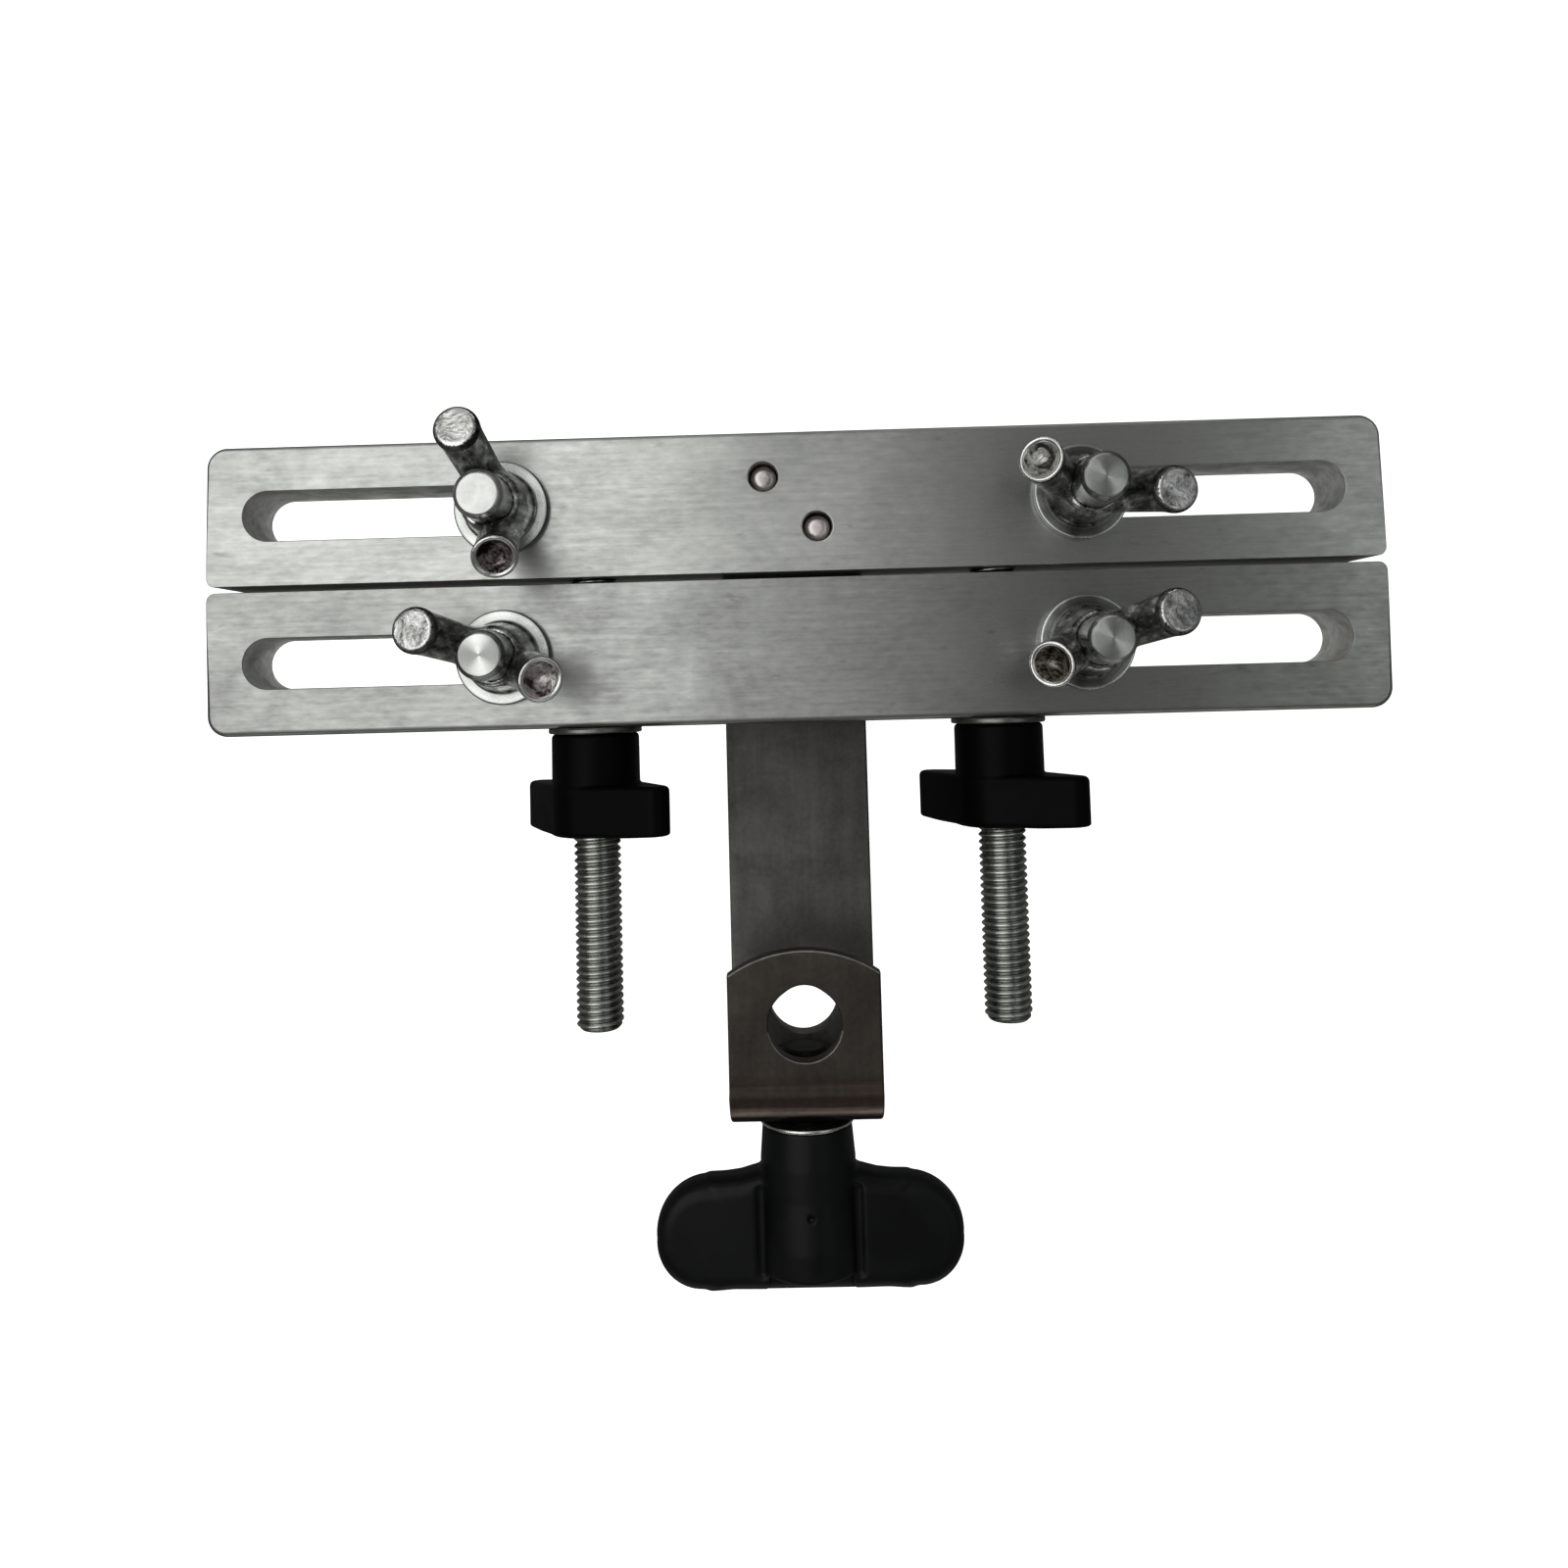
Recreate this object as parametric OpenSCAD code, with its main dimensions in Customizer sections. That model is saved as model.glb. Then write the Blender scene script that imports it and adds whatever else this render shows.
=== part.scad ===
// Adjustable holder for clock and watch movements, in millimetres.
// Two slotted bars lie side by side. The fixed bar is screwed to a bent
// strap whose lower end is a rod clamp. The sliding bar runs on two
// threaded rods and is driven by two wing knobs. Four clamping bolts
// slide in the slots and are locked by washers and wing nuts.
// Frame: X along the bars, Y across them towards the fixed bar,
// Z up, out of the working face. The origin lies on the axis of the
// stand rod bore, at the height of the working face of the bars.

/* [Bars] */
// Length of both bars
bar_l = 200; // [180:1:220]
// Width of the fixed bar
bar_w = 24; // [22:0.5:26]
// Width of the sliding bar
low_w = 24.5; // [22:0.5:26]
// Thickness of the bars
bar_t = 12; // [12:0.5:14]
// Gap between the bars at rest
jaw_gap = 1; // [0.9:0.1:3]
// Distance from the bore axis to the near edge of the fixed bar
fixed_y = 74; // [72:0.5:80]
// Corner radius on the outer long sides
corner_out = 3.5; // [2:0.5:5]
// Corner radius on the facing long sides
corner_in = 1.5; // [1:0.5:3]
// Relief behind the sliding bar, so that it clears the strap
back_relief = 0.2; // [0.1:0.1:0.5]

/* [Slots] */
// Width of each slot
slot_w = 8.6; // [8.5:0.1:9]
// Distance from the middle to the centre of a slot's inner end
slot_in = 46.2; // [45.5:0.1:46.3]
// Distance from a bar end to a slot's outer end
slot_end = 6.3; // [5.3:0.5:10.3]

/* [Threaded parts] */
// Nominal thread diameter of rods, bolts and clamp screw
thread_d = 8; // [8:0.5:8]
// Distance of each threaded rod from the middle
rod_x = 34.8; // [34:0.1:35.5]
// Length of rod that stands out below the bars at rest
rod_out = 51.2; // [45:0.1:55]
// Depth of rod inside the fixed bar
rod_in = 16.5; // [12:0.5:18]
// Running clearance of a shaft in its hole, on the radius
run_c = 0.05; // [0.02:0.01:0.09]

/* [Clamping bolts] */
// Distance of the bolts from the middle at rest
bolt_x = 49; // [49:0.5:60]
// Height of a bolt end above the working face
bolt_h = 17; // [16:0.5:20]
// Width of the square neck
neck_w = 8; // [7.5:0.1:8.2]
// Diameter of the domed bolt head
bolt_head_d = 18; // [16:0.5:19]
// Outer diameter of the bolt washers
washer_d = 16; // [15:0.5:17]
// Thickness of the bolt washers
washer_t = 1.6; // [1.2:0.1:2]
// Thickness of the washers under the knobs
thin_t = 1; // [0.8:0.1:1.6]
// Thickness of the washer under the clamp knob
clamp_thin_t = 0.7; // [0.5:0.1:1]

/* [Wing nuts] */
// Diameter of the hub at its base
nut_base_d = 12.6; // [12:0.2:13]
// Height of the hub
nut_hub_h = 8; // [7:0.5:9]
// Diameter of a prong
prong_d = 7; // [6:0.2:7.4]
// Distance of a prong tip from the bolt axis
prong_r = 10.7; // [10:0.1:11.5]
// Height of the prong tips above the washer
prong_h = 16.4; // [16:0.2:18]

/* [Small wing knobs] */
// Hub diameter
sk_hub_d = 15.2; // [14.5:0.1:16]
// Whole height
sk_h = 17.3; // [16:0.1:18]
// Height of the wings
sk_wing_h = 8.7; // [8:0.1:10]
// Span over both wings
sk_span = 33.9; // [32:0.1:40]
// Radius of the round wing ends
sk_end_r = 2.6; // [2:0.1:3.5]
// Resting angle of the left knob's wings, seen from below
sk_left_a = 40.2; // [0:0.1:90]
// Resting angle of the right knob's wings, seen from below
sk_right_a = 45.3; // [0:0.1:90]

/* [Strap and rod clamp] */
// Width of the strap
strap_w = 25; // [24:0.5:27]
// Thickness of the strap
strap_t = 3; // [2.5:0.1:3.5]
// Gap between the two legs of the clamp
leg_gap = 14; // [13.4:0.1:14.4]
// Radius of the stand rod bore
bore_r = 6; // [5:0.5:6.5]
// Radius at the tip of the notch in the bore
notch_r = 4.8; // [1.5:0.1:5]
// Distance from the bore axis to the outside of the bend
bend_y = 17.3; // [16.5:0.1:18]
// Inside radius of the two bends
bend_r = 4.5; // [3:0.5:4.5]
// Radius of the arched end of the front leg
arch_r = 22; // [18:0.5:30]
// Height of the arched end above the bore axis
arch_y = 11.9; // [11.5:0.1:13]
// Diameter of the two strap screws
strap_screw_d = 5; // [4:0.5:5]

/* [Clamp knob] */
// Hub diameter at the top
ck_hub_d = 15; // [14.5:0.1:16]
// Height of the hub
ck_h = 24.2; // [22:0.2:25]
// Centre distance of the round wing ends
ck_lobe_x = 16.75; // [15.5:0.05:17.5]
// Distance from the hub's top to the middle of the wing ends
ck_lobe_y = 18.1; // [17:0.1:19]
// Radius of the round wing ends
ck_lobe_r = 9; // [8.5:0.1:9.5]
// Thickness of the wings
ck_wing_t = 7.5; // [6:0.5:9]

/* [Hidden] */
$fn = 96;
e = 0.01;                             // overshoot of cutters
air = 0.05;                           // gap between faces of parts that turn on each other
r_t = thread_d / 2;                   // thread radius
low_y = fixed_y - jaw_gap - low_w;    // near edge of the sliding bar
fix_mid = fixed_y + bar_w / 2;        // centre line of the fixed bar
low_mid = low_y + low_w / 2;          // centre line of the sliding bar
axis_z = -bar_t / 2;                  // height of the two rods
slot_out = bar_l / 2 - slot_end - slot_w / 2;
leg_z0 = -bar_t;                      // front face of the rear leg
leg_z1 = leg_z0 + leg_gap;            // rear face of the front leg
clamp_z = (leg_z0 + leg_z1) / 2;      // height of the clamp screw
nut_len = 4;                          // length of the thin captive nut
nut_top = -bend_y + strap_t + 2.9 + nut_len; // inner end of the captive nut
tip_y = -bore_r - 0.2;                // inner end of the clamp screw at rest
wash_y = -bend_y - 0.2;               // top face of the clamp washer at rest
knob_y = wash_y - clamp_thin_t - air;       // top face of the clamp knob
sk_y = low_y - thin_t - air;          // top face of the small knobs
screw_dx = 4.5;                       // offsets of the strap screws
screw_dy = 4.35;
screw_tip = -1.8;                     // height of the strap screws' ends

// local Z runs towards -Y, local Y runs towards +Z
module down_y(x, y, z) { translate([x, y, z]) rotate([90, 0, 0]) children(); }

// concave cutter for one rounded corner at the origin
module corner_cut(r) {
  difference() {
    translate([-1, -1]) square([r + 1, r + 1]);
    translate([r, r]) circle(r);
  }
}

// outline of a bar w wide from y0 upwards, with radii r_low and r_high
module bar_outline(y0, w, r_low, r_high) {
  difference() {
    translate([-bar_l / 2, y0]) square([bar_l, w]);
    for (s = [0, 1]) mirror([s, 0]) {
      translate([-bar_l / 2, y0]) corner_cut(r_low);
      translate([-bar_l / 2, y0 + w]) mirror([0, 1]) corner_cut(r_high);
    }
    for (s = [0, 1]) mirror([s, 0]) slot_outline(y0 + w / 2);
  }
}

module slot_outline(y) {
  translate([slot_in, y - slot_w / 2]) square([slot_out - slot_in, slot_w]);
  for (x = [slot_in, slot_out]) translate([x, y]) circle(d = slot_w);
}

// fixed bar, with blind tapped rod holes and two tapped strap holes
module upper_bar() {
  color([0.66, 0.67, 0.65]) difference() {
    translate([0, 0, -bar_t]) linear_extrude(bar_t)
      bar_outline(fixed_y, bar_w, corner_in, corner_out);
    for (x = [-rod_x, rod_x])
      down_y(x, fixed_y + rod_in + 1, axis_z) cylinder(r = r_t + 0.02, h = rod_in + 1 + e);
    for (s = [-1, 1])
      translate([s * screw_dx, fix_mid - s * screw_dy, -bar_t - e])
        cylinder(d = strap_screw_d + 0.04, h = bar_t + 2 * e);
  }
}

// sliding bar, with two plain guide holes for the rods
module lower_bar() {
  color([0.66, 0.67, 0.65]) difference() {
    translate([0, 0, -bar_t + back_relief]) linear_extrude(bar_t - back_relief)
      bar_outline(low_y, low_w, corner_out, corner_in);
    for (x = [-rod_x, rod_x])
      down_y(x, low_y + low_w + e, axis_z) cylinder(r = r_t + 0.1, h = low_w + 2 * e);
  }
}

// threaded rod, chamfered at both ends
module threaded_rod(x) {
  rod_l = rod_in + jaw_gap + low_w + rod_out;
  color([0.72, 0.74, 0.71]) down_y(x, fixed_y + rod_in, axis_z) rotate_extrude()
    polygon([[0, 0], [r_t - 0.8, 0], [r_t, 0.8], [r_t, rod_l - 0.8], [r_t - 0.8, rod_l], [0, rod_l]]);
}

module left_threaded_rod() threaded_rod(-rod_x);
module right_threaded_rod() threaded_rod(rod_x);

// flat washer with one face at local z = 0
module flat_washer(bore, t) {
  difference() {
    cylinder(d = washer_d, h = t);
    translate([0, 0, -e]) cylinder(r = bore, h = t + 2 * e);
  }
}

module left_knob_washer() color([0.75, 0.76, 0.74]) down_y(-rod_x, low_y, axis_z) flat_washer(r_t + 0.3, thin_t);
module right_knob_washer() color([0.75, 0.76, 0.74]) down_y(rod_x, low_y, axis_z) flat_washer(r_t + 0.3, thin_t);

// outline of the small knob's wings, whose sides run on from the hub to the round ends
module small_wings() {
  r = sk_hub_d / 2 + 0.3;
  c = sk_span / 2 - sk_end_r;
  t = asin((r - sk_end_r) / c);
  p = [[(r - 0.02) * sin(t), (r - 0.02) * cos(t)],
    [c + (sk_end_r - 0.02) * sin(t), (sk_end_r - 0.02) * cos(t)]];
  circle(r);
  for (s = [0, 1]) mirror([s, 0]) {
    translate([c, 0]) circle(sk_end_r);
    polygon([[0, 0], p[0], p[1], [p[1].x, -p[1].y], [p[0].x, -p[0].y]]);
  }
}

// small wing knob, hub towards the bar, wings at the free end
module small_knob(x, a) {
  color([0.09, 0.09, 0.09]) down_y(x, sk_y, axis_z) rotate([0, 0, a]) difference() {
    union() {
      cylinder(d = sk_hub_d, h = sk_h);
      translate([0, 0, sk_h - sk_wing_h]) linear_extrude(sk_wing_h) small_wings();
    }
    translate([0, 0, -e]) cylinder(r = 5.5, h = 12 + e);
    translate([0, 0, 12 - e]) cylinder(r = r_t + 0.4, h = sk_h);
  }
}

// threaded metal insert moulded into the small knob
module knob_insert(x) {
  color([0.78, 0.68, 0.38]) down_y(x, sk_y, axis_z) difference() {
    cylinder(r = 5.5, h = 12);
    translate([0, 0, -e]) cylinder(r = r_t + run_c, h = 12 + 2 * e);
  }
}

module left_clamp_knob() small_knob(-rod_x, sk_left_a);
module right_clamp_knob() small_knob(rod_x, sk_right_a);
module left_knob_insert() knob_insert(-rod_x);
module right_knob_insert() knob_insert(rod_x);

// side view of the bent strap: rear leg, round bend, front leg
module strap_side() {
  ri = bend_r;
  ro = ri + strap_t;
  zr = leg_z0 - strap_t;        // back of the rear leg
  zf = leg_z1 + strap_t;        // front of the front leg
  difference() {
    translate([-bend_y, zr]) square([bend_y + fixed_y + bar_w - 1, zf - zr]);
    translate([-bend_y, zr]) corner_cut(ro);
    translate([-bend_y, zf]) mirror([0, 1]) corner_cut(ro);
    difference() {
      translate([-bend_y + strap_t, leg_z0]) square([bend_y + fixed_y + bar_w, leg_gap]);
      translate([-bend_y + strap_t, leg_z0]) corner_cut(ri);
      translate([-bend_y + strap_t, leg_z1]) mirror([0, 1]) corner_cut(ri);
    }
    translate([arch_y + 0.5, leg_z1 - 1]) square([fixed_y + bar_w, strap_t + 2]);
  }
}

// stand rod bore with a rounded notch towards the bars
module rod_bore() {
  b = 36;                       // slope of the notch sides
  cy = (bore_r - notch_r) / cos(b);
  translate([0, 0, leg_z0 - strap_t - 1]) {
    cylinder(r = bore_r, h = leg_gap + 2 * strap_t + 2, $fn = 144);
    translate([0, cy, 0]) cylinder(r = notch_r, h = leg_gap + 2 * strap_t + 2, $fn = 96);
    linear_extrude(leg_gap + 2 * strap_t + 2)
      polygon([[-(bore_r - 0.02) * sin(b), (bore_r - 0.02) * cos(b)],
        [-(notch_r - 0.02) * sin(b), cy + (notch_r - 0.02) * cos(b)],
        [(notch_r - 0.02) * sin(b), cy + (notch_r - 0.02) * cos(b)],
        [(bore_r - 0.02) * sin(b), (bore_r - 0.02) * cos(b)], [0, 0]]);
  }
}

module support_strap() {
  color([0.33, 0.33, 0.32]) difference() {
    translate([-strap_w / 2, 0, 0]) rotate([90, 0, 90]) linear_extrude(strap_w) strap_side();
    translate([0, 0, leg_z1 - e]) linear_extrude(strap_t + 1) difference() {
      translate([-strap_w, -8]) square([2 * strap_w, arch_y + 12]);
      translate([0, arch_y - arch_r]) circle(arch_r, $fn = 180);
      translate([-strap_w / 2 - 1, -9]) square([strap_w + 2, 9]);
    }
    rod_bore();
    down_y(0, -bend_y + strap_t + 1, clamp_z) cylinder(r = r_t + 0.35, h = strap_t + 2);
    for (s = [-1, 1])
      translate([s * screw_dx, fix_mid - s * screw_dy, leg_z0 - strap_t - 1])
        cylinder(d = strap_screw_d + 0.5, h = strap_t + 2);
  }
}

// two button head screws that hold the fixed bar on the strap
module strap_screws() {
  r = strap_screw_d / 2;
  color([0.6, 0.61, 0.6]) for (s = [-1, 1])
    translate([s * screw_dx, fix_mid - s * screw_dy, 0]) difference() {
      rotate_extrude() polygon([[0, screw_tip], [r - 0.5, screw_tip], [r, screw_tip - 0.5],
        [r, leg_z0 - strap_t], [4.75, leg_z0 - strap_t], [4.55, leg_z0 - strap_t - 1.1],
        [3.9, leg_z0 - strap_t - 2.0], [2.9, leg_z0 - strap_t - 2.6], [0, leg_z0 - strap_t - 2.6]]);
      translate([0, 0, leg_z0 - strap_t - 2.7]) cylinder(d = 3.46, h = 1.8, $fn = 6);
    }
}

// hexagon nut held between the legs of the clamp
module clamp_nut() {
  af = 13;
  color([0.7, 0.71, 0.69]) down_y(0, nut_top, clamp_z) difference() {
    intersection() {
      cylinder(d = af / cos(30), h = nut_len, $fn = 6);
      rotate_extrude() polygon([[0, 0], [af / 2, 0], [af / 2 + 1.2, 0.7],
        [af / 2 + 1.2, nut_len - 0.7], [af / 2, nut_len], [0, nut_len]]);
    }
    translate([0, 0, -e]) cylinder(r = r_t + run_c, h = nut_len + 2 * e);
  }
}

module clamp_washer() color([0.78, 0.79, 0.77]) down_y(0, wash_y, clamp_z) flat_washer(r_t + run_c, clamp_thin_t);

// clamp screw, moulded into the knob by its hexagon head
module clamp_screw() {
  l = tip_y - knob_y;
  color([0.72, 0.74, 0.71]) down_y(0, tip_y, clamp_z) {
    rotate_extrude() polygon([[0, 0], [r_t - 0.9, 0], [r_t, 0.9], [r_t, l + 14], [0, l + 14]]);
    translate([0, 0, l + 14 - e]) cylinder(d = 13 / cos(30), h = 5.3, $fn = 6);
  }
}

// round plug that closes the screw pocket in the free end of the knob; its rib carries the wings on across it
module clamp_screw_cap() {
  color([0.08, 0.08, 0.08]) down_y(0, knob_y - 19.4, clamp_z) {
    cylinder(d = 15.2, h = ck_h - 19.4 - 0.4);
    intersection() {
      cylinder(d = 15.2, h = ck_lobe_y + ck_lobe_r - 0.15 - 19.4);
      translate([-8, -ck_wing_t / 2 + 0.05, 0]) cube([16, ck_wing_t - 0.1, 9]);
    }
  }
}

// clamp knob with two round wings
module clamp_knob() {
  ly = ck_lobe_y;
  lb = ly + ck_lobe_r;           // lowest line of the wings
  color([0.1, 0.1, 0.1]) down_y(0, knob_y, clamp_z) difference() {
    union() {
      rotate_extrude() polygon([[0, 0], [ck_hub_d / 2 - 0.6, 0], [ck_hub_d / 2, 0.6],
        [ck_hub_d / 2 + 0.55, 6], [9, 16], [9, ck_h - 0.5], [8.5, ck_h], [0, ck_h]]);
      translate([0, -ck_wing_t / 2, 0]) rotate([-90, 0, 0]) linear_extrude(ck_wing_t) mirror([0, 1]) {
        for (s = [-1, 1]) {
          translate([s * ck_lobe_x, ly]) circle(ck_lobe_r);
          translate([s * (ck_lobe_x + 1.5), ly + 1.4]) circle(ck_lobe_r - 1.5);
        }
        polygon([[-7, 7.3], [-11.5, 8.5], [-ck_lobe_x, ly - ck_lobe_r + 0.03], [-ck_lobe_x, lb - 0.1],
          [ck_lobe_x, lb - 0.1], [ck_lobe_x, ly - ck_lobe_r + 0.03], [11.5, 8.5], [7, 7.3]]);
      }
    }
    translate([0, 0, -e]) cylinder(r = r_t + 0.02, h = 16);
    translate([0, 0, 14]) cylinder(d = 13.1 / cos(30), h = ck_h, $fn = 6);
    translate([0, 0, 19.4]) cylinder(d = 15.24, h = ck_h);
    // mould grooves beside the hub
    for (x = [-8.1, 8.1], y = [-ck_wing_t / 2 - 0.3, ck_wing_t / 2 + 0.3])
      translate([x, y, 9.5]) cylinder(r = 0.9, h = lb - 12);
  }
}

// clamping bolt: domed head, square neck, round shank with chamfered end
module slot_bolt(x, y, back) {
  zb = back - air;
  color([0.76, 0.77, 0.75]) translate([x, y, 0]) {
    rotate_extrude() polygon([[0, zb - 4.4], [3, zb - 4.25], [6, zb - 3.3], [8, zb - 1.9],
      [bolt_head_d / 2, zb - 0.8], [bolt_head_d / 2, zb], [0, zb]]);
    translate([-neck_w / 2, -neck_w / 2, zb - e]) cube([neck_w, neck_w, 5]);
    rotate_extrude() polygon([[0, zb], [r_t, zb], [r_t, bolt_h - 0.7], [r_t - 0.7, bolt_h], [0, bolt_h]]);
  }
}

module slot_washer(x, y) {
  color([0.78, 0.79, 0.77]) translate([x, y, air + washer_t]) mirror([0, 0, 1]) flat_washer(r_t + run_c, washer_t);
}

// wing nut: bell shaped hub with two round raised prongs, one cut off flat, one cupped
module wing_nut(x, y, a) {
  z0 = air + washer_t + air;
  reach = prong_r - 4.2;
  rise = prong_h - 4.2;
  lean = atan2(reach, rise);
  cut_a = 12;                   // slope of the flat prong end
  len = sqrt(reach * reach + rise * rise);
  color([0.76, 0.77, 0.75]) translate([x, y, z0]) rotate([0, 0, a]) difference() {
    union() {
      rotate_extrude() polygon([[0, 0], [nut_base_d / 2, 0], [nut_base_d / 2, 0.8],
        [nut_base_d / 2 - 0.5, 3], [nut_base_d / 2 - 1.1, nut_hub_h - 0.5],
        [nut_base_d / 2 - 1.6, nut_hub_h], [0, nut_hub_h]]);
      for (s = [0, 180]) rotate([0, 0, s]) difference() {
        translate([4.2, 0, 4.2]) rotate([0, lean, 0]) {
          cylinder(d1 = prong_d - 0.6, d2 = prong_d, h = len + (s == 0 ? 1.5 : 0));
          sphere(d = prong_d - 0.6);
        }
        if (s == 0) translate([prong_r, 0, prong_h]) rotate([0, cut_a, 0])
          translate([-8, -8, 0]) cube([16, 16, 8]);
        else translate([4.2, 0, 4.2]) rotate([0, lean, 0])
          translate([0, 0, len - 1.7]) cylinder(d1 = 1.6, d2 = prong_d - 1.2, h = 1.8);
      }
    }
    translate([0, 0, -e]) cylinder(r = r_t + run_c, h = 30);
    translate([0, 0, -10]) cylinder(r = 20, h = 10);
  }
}

module upper_left_bolt() slot_bolt(-bolt_x, fix_mid, -bar_t);
module upper_right_bolt() slot_bolt(bolt_x, fix_mid, -bar_t);
module lower_left_bolt() slot_bolt(-bolt_x, low_mid, -bar_t + back_relief);
module lower_right_bolt() slot_bolt(bolt_x, low_mid, -bar_t + back_relief);
module upper_left_washer() slot_washer(-bolt_x, fix_mid);
module upper_right_washer() slot_washer(bolt_x, fix_mid);
module lower_left_washer() slot_washer(-bolt_x, low_mid);
module lower_right_washer() slot_washer(bolt_x, low_mid);
module upper_left_wing_nut() wing_nut(-bolt_x, fix_mid, 106);
module upper_right_wing_nut() wing_nut(bolt_x, fix_mid, -14.4);
module lower_left_wing_nut() wing_nut(-bolt_x, low_mid, 157.4);
module lower_right_wing_nut() wing_nut(bolt_x, low_mid, 21);

upper_bar();
lower_bar();
support_strap();
strap_screws();
left_threaded_rod();
right_threaded_rod();
left_clamp_knob();
left_knob_insert();
left_knob_washer();
right_clamp_knob();
right_knob_insert();
right_knob_washer();
upper_left_bolt();
upper_left_washer();
upper_left_wing_nut();
upper_right_bolt();
upper_right_washer();
upper_right_wing_nut();
lower_left_bolt();
lower_left_washer();
lower_left_wing_nut();
lower_right_bolt();
lower_right_washer();
lower_right_wing_nut();
clamp_nut();
clamp_washer();
clamp_screw();
clamp_screw_cap();
clamp_knob();
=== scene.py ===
import bpy, bmesh, math
import numpy as np
from mathutils import Vector, Matrix
from mathutils.geometry import tessellate_polygon


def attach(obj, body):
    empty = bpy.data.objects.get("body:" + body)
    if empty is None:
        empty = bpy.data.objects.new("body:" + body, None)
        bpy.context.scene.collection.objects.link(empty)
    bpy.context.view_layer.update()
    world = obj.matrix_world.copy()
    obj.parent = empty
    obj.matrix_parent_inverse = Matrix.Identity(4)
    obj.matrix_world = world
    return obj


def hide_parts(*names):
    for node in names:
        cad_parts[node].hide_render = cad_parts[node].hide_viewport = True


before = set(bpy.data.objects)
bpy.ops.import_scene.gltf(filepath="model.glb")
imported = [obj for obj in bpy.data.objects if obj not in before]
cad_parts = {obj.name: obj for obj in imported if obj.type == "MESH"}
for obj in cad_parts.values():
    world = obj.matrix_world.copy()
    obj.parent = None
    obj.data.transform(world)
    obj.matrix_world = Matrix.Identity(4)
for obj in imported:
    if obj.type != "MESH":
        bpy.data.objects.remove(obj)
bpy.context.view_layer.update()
scene = bpy.context.scene
MM = 0.001

# ------------------------------------------------------------------ sizes (mm)
BAR_L, FIX_Y0, FIX_Y1, LOW_Y0, LOW_Y1 = 200.0, 74.0, 98.0, 48.5, 73.0
BAR_T, SLOT_R, SLOT_IN, SLOT_OUT = 12.0, 4.3, 46.2, 89.4
ROD_X, ROD_Z, ROD_TOP, ROD_END = 34.8, -6.0, 90.5, -2.7
BOLT_X, FIX_MID, LOW_MID = 49.0, 86.0, 60.75
CLAMP_Z, KNOB_Y, SK_Y = -5.0, -18.25, 47.45
LEG_Z0, LEG_Z1, STRAP_T, STRAP_W, BEND_Y, BEND_R = -12.0, 2.0, 3.0, 25.0, 17.3, 4.5

# ------------------------------------------------------------------ mesh helpers
def make(name, verts, faces, body, nodes, mat, matrix=None, sharp=38.0, sharp_edges=None):
    me = bpy.data.meshes.new(name)
    me.from_pydata([tuple(c * MM for c in v) for v in verts], [], faces)
    me.validate()
    bm = bmesh.new()
    bm.from_mesh(me)
    bmesh.ops.remove_doubles(bm, verts=bm.verts, dist=1e-7)
    bmesh.ops.dissolve_degenerate(bm, dist=1e-7, edges=bm.edges)
    bmesh.ops.recalc_face_normals(bm, faces=bm.faces)
    bm.to_mesh(me)
    bm.free()
    return place(me, name, body, nodes, mat, matrix, sharp, sharp_edges)


def place(me, name, body, nodes, mat, matrix=None, sharp=38.0, sharp_edges=None):
    for p in me.polygons:
        p.use_smooth = True
    me.set_sharp_from_angle(angle=math.radians(sharp))
    o = bpy.data.objects.new(name, me)
    scene.collection.objects.link(o)
    if matrix is not None:
        m = matrix.copy()
        m.translation = m.translation * MM
        o.matrix_world = m
    me.materials.clear()
    me.materials.append(mat)
    if nodes:
        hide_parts(*nodes)
    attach(o, body)
    return o


def even(*objs):
    """Lets the large faces set the shading of the rounded edges beside them."""
    for o in objs:
        m = o.modifiers.new("even_normals", "WEIGHTED_NORMAL")
        m.keep_sharp, m.weight, m.mode = True, 60, "FACE_AREA"


def paint(o, mats, pick):
    """Further materials on chosen faces; pick gets a face's centre in mm and its normal."""
    for m in mats:
        o.data.materials.append(m)
    for q in o.data.polygons:
        q.material_index = pick(q.center / MM, q.normal)


def settle(o, turn):
    """Turns the mesh itself about its own Z."""
    o.data.transform(Matrix.Rotation(math.radians(turn), 4, "Z"))


def down(x, y, z, turn=0.0):
    """Local +Z runs towards -Y, local +Y towards +Z, turned about that axis."""
    return Matrix.Translation((x, y, z)) @ Matrix.Rotation(math.radians(90), 4, "X") @ Matrix.Rotation(math.radians(turn), 4, "Z")


def up(x, y, z, turn=0.0):
    return Matrix.Translation((x, y, z)) @ Matrix.Rotation(math.radians(turn), 4, "Z")


def lathe(profile, segs=96):
    """Revolves a closed or axis-to-axis profile of (r, z) points about Z."""
    verts, faces, rings = [], [], []
    for r, z in profile:
        if r < 1e-9:
            rings.append([len(verts)])
            verts.append((0, 0, z))
        else:
            rings.append(list(range(len(verts), len(verts) + segs)))
            verts += [(r * math.cos(2 * math.pi * i / segs), r * math.sin(2 * math.pi * i / segs), z) for i in range(segs)]
    closed = len(rings[0]) > 1
    for a in range(len(rings) if closed else len(rings) - 1):
        A, B = rings[a], rings[(a + 1) % len(rings)]
        for i in range(segs):
            j = (i + 1) % segs
            if len(A) == 1 and len(B) == 1:
                continue
            if len(A) == 1:
                faces.append((A[0], B[i], B[j]))
            elif len(B) == 1:
                faces.append((A[i], B[0], A[j]))
            else:
                faces.append((A[i], B[i], B[j], A[j]))
    return verts, faces


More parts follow.
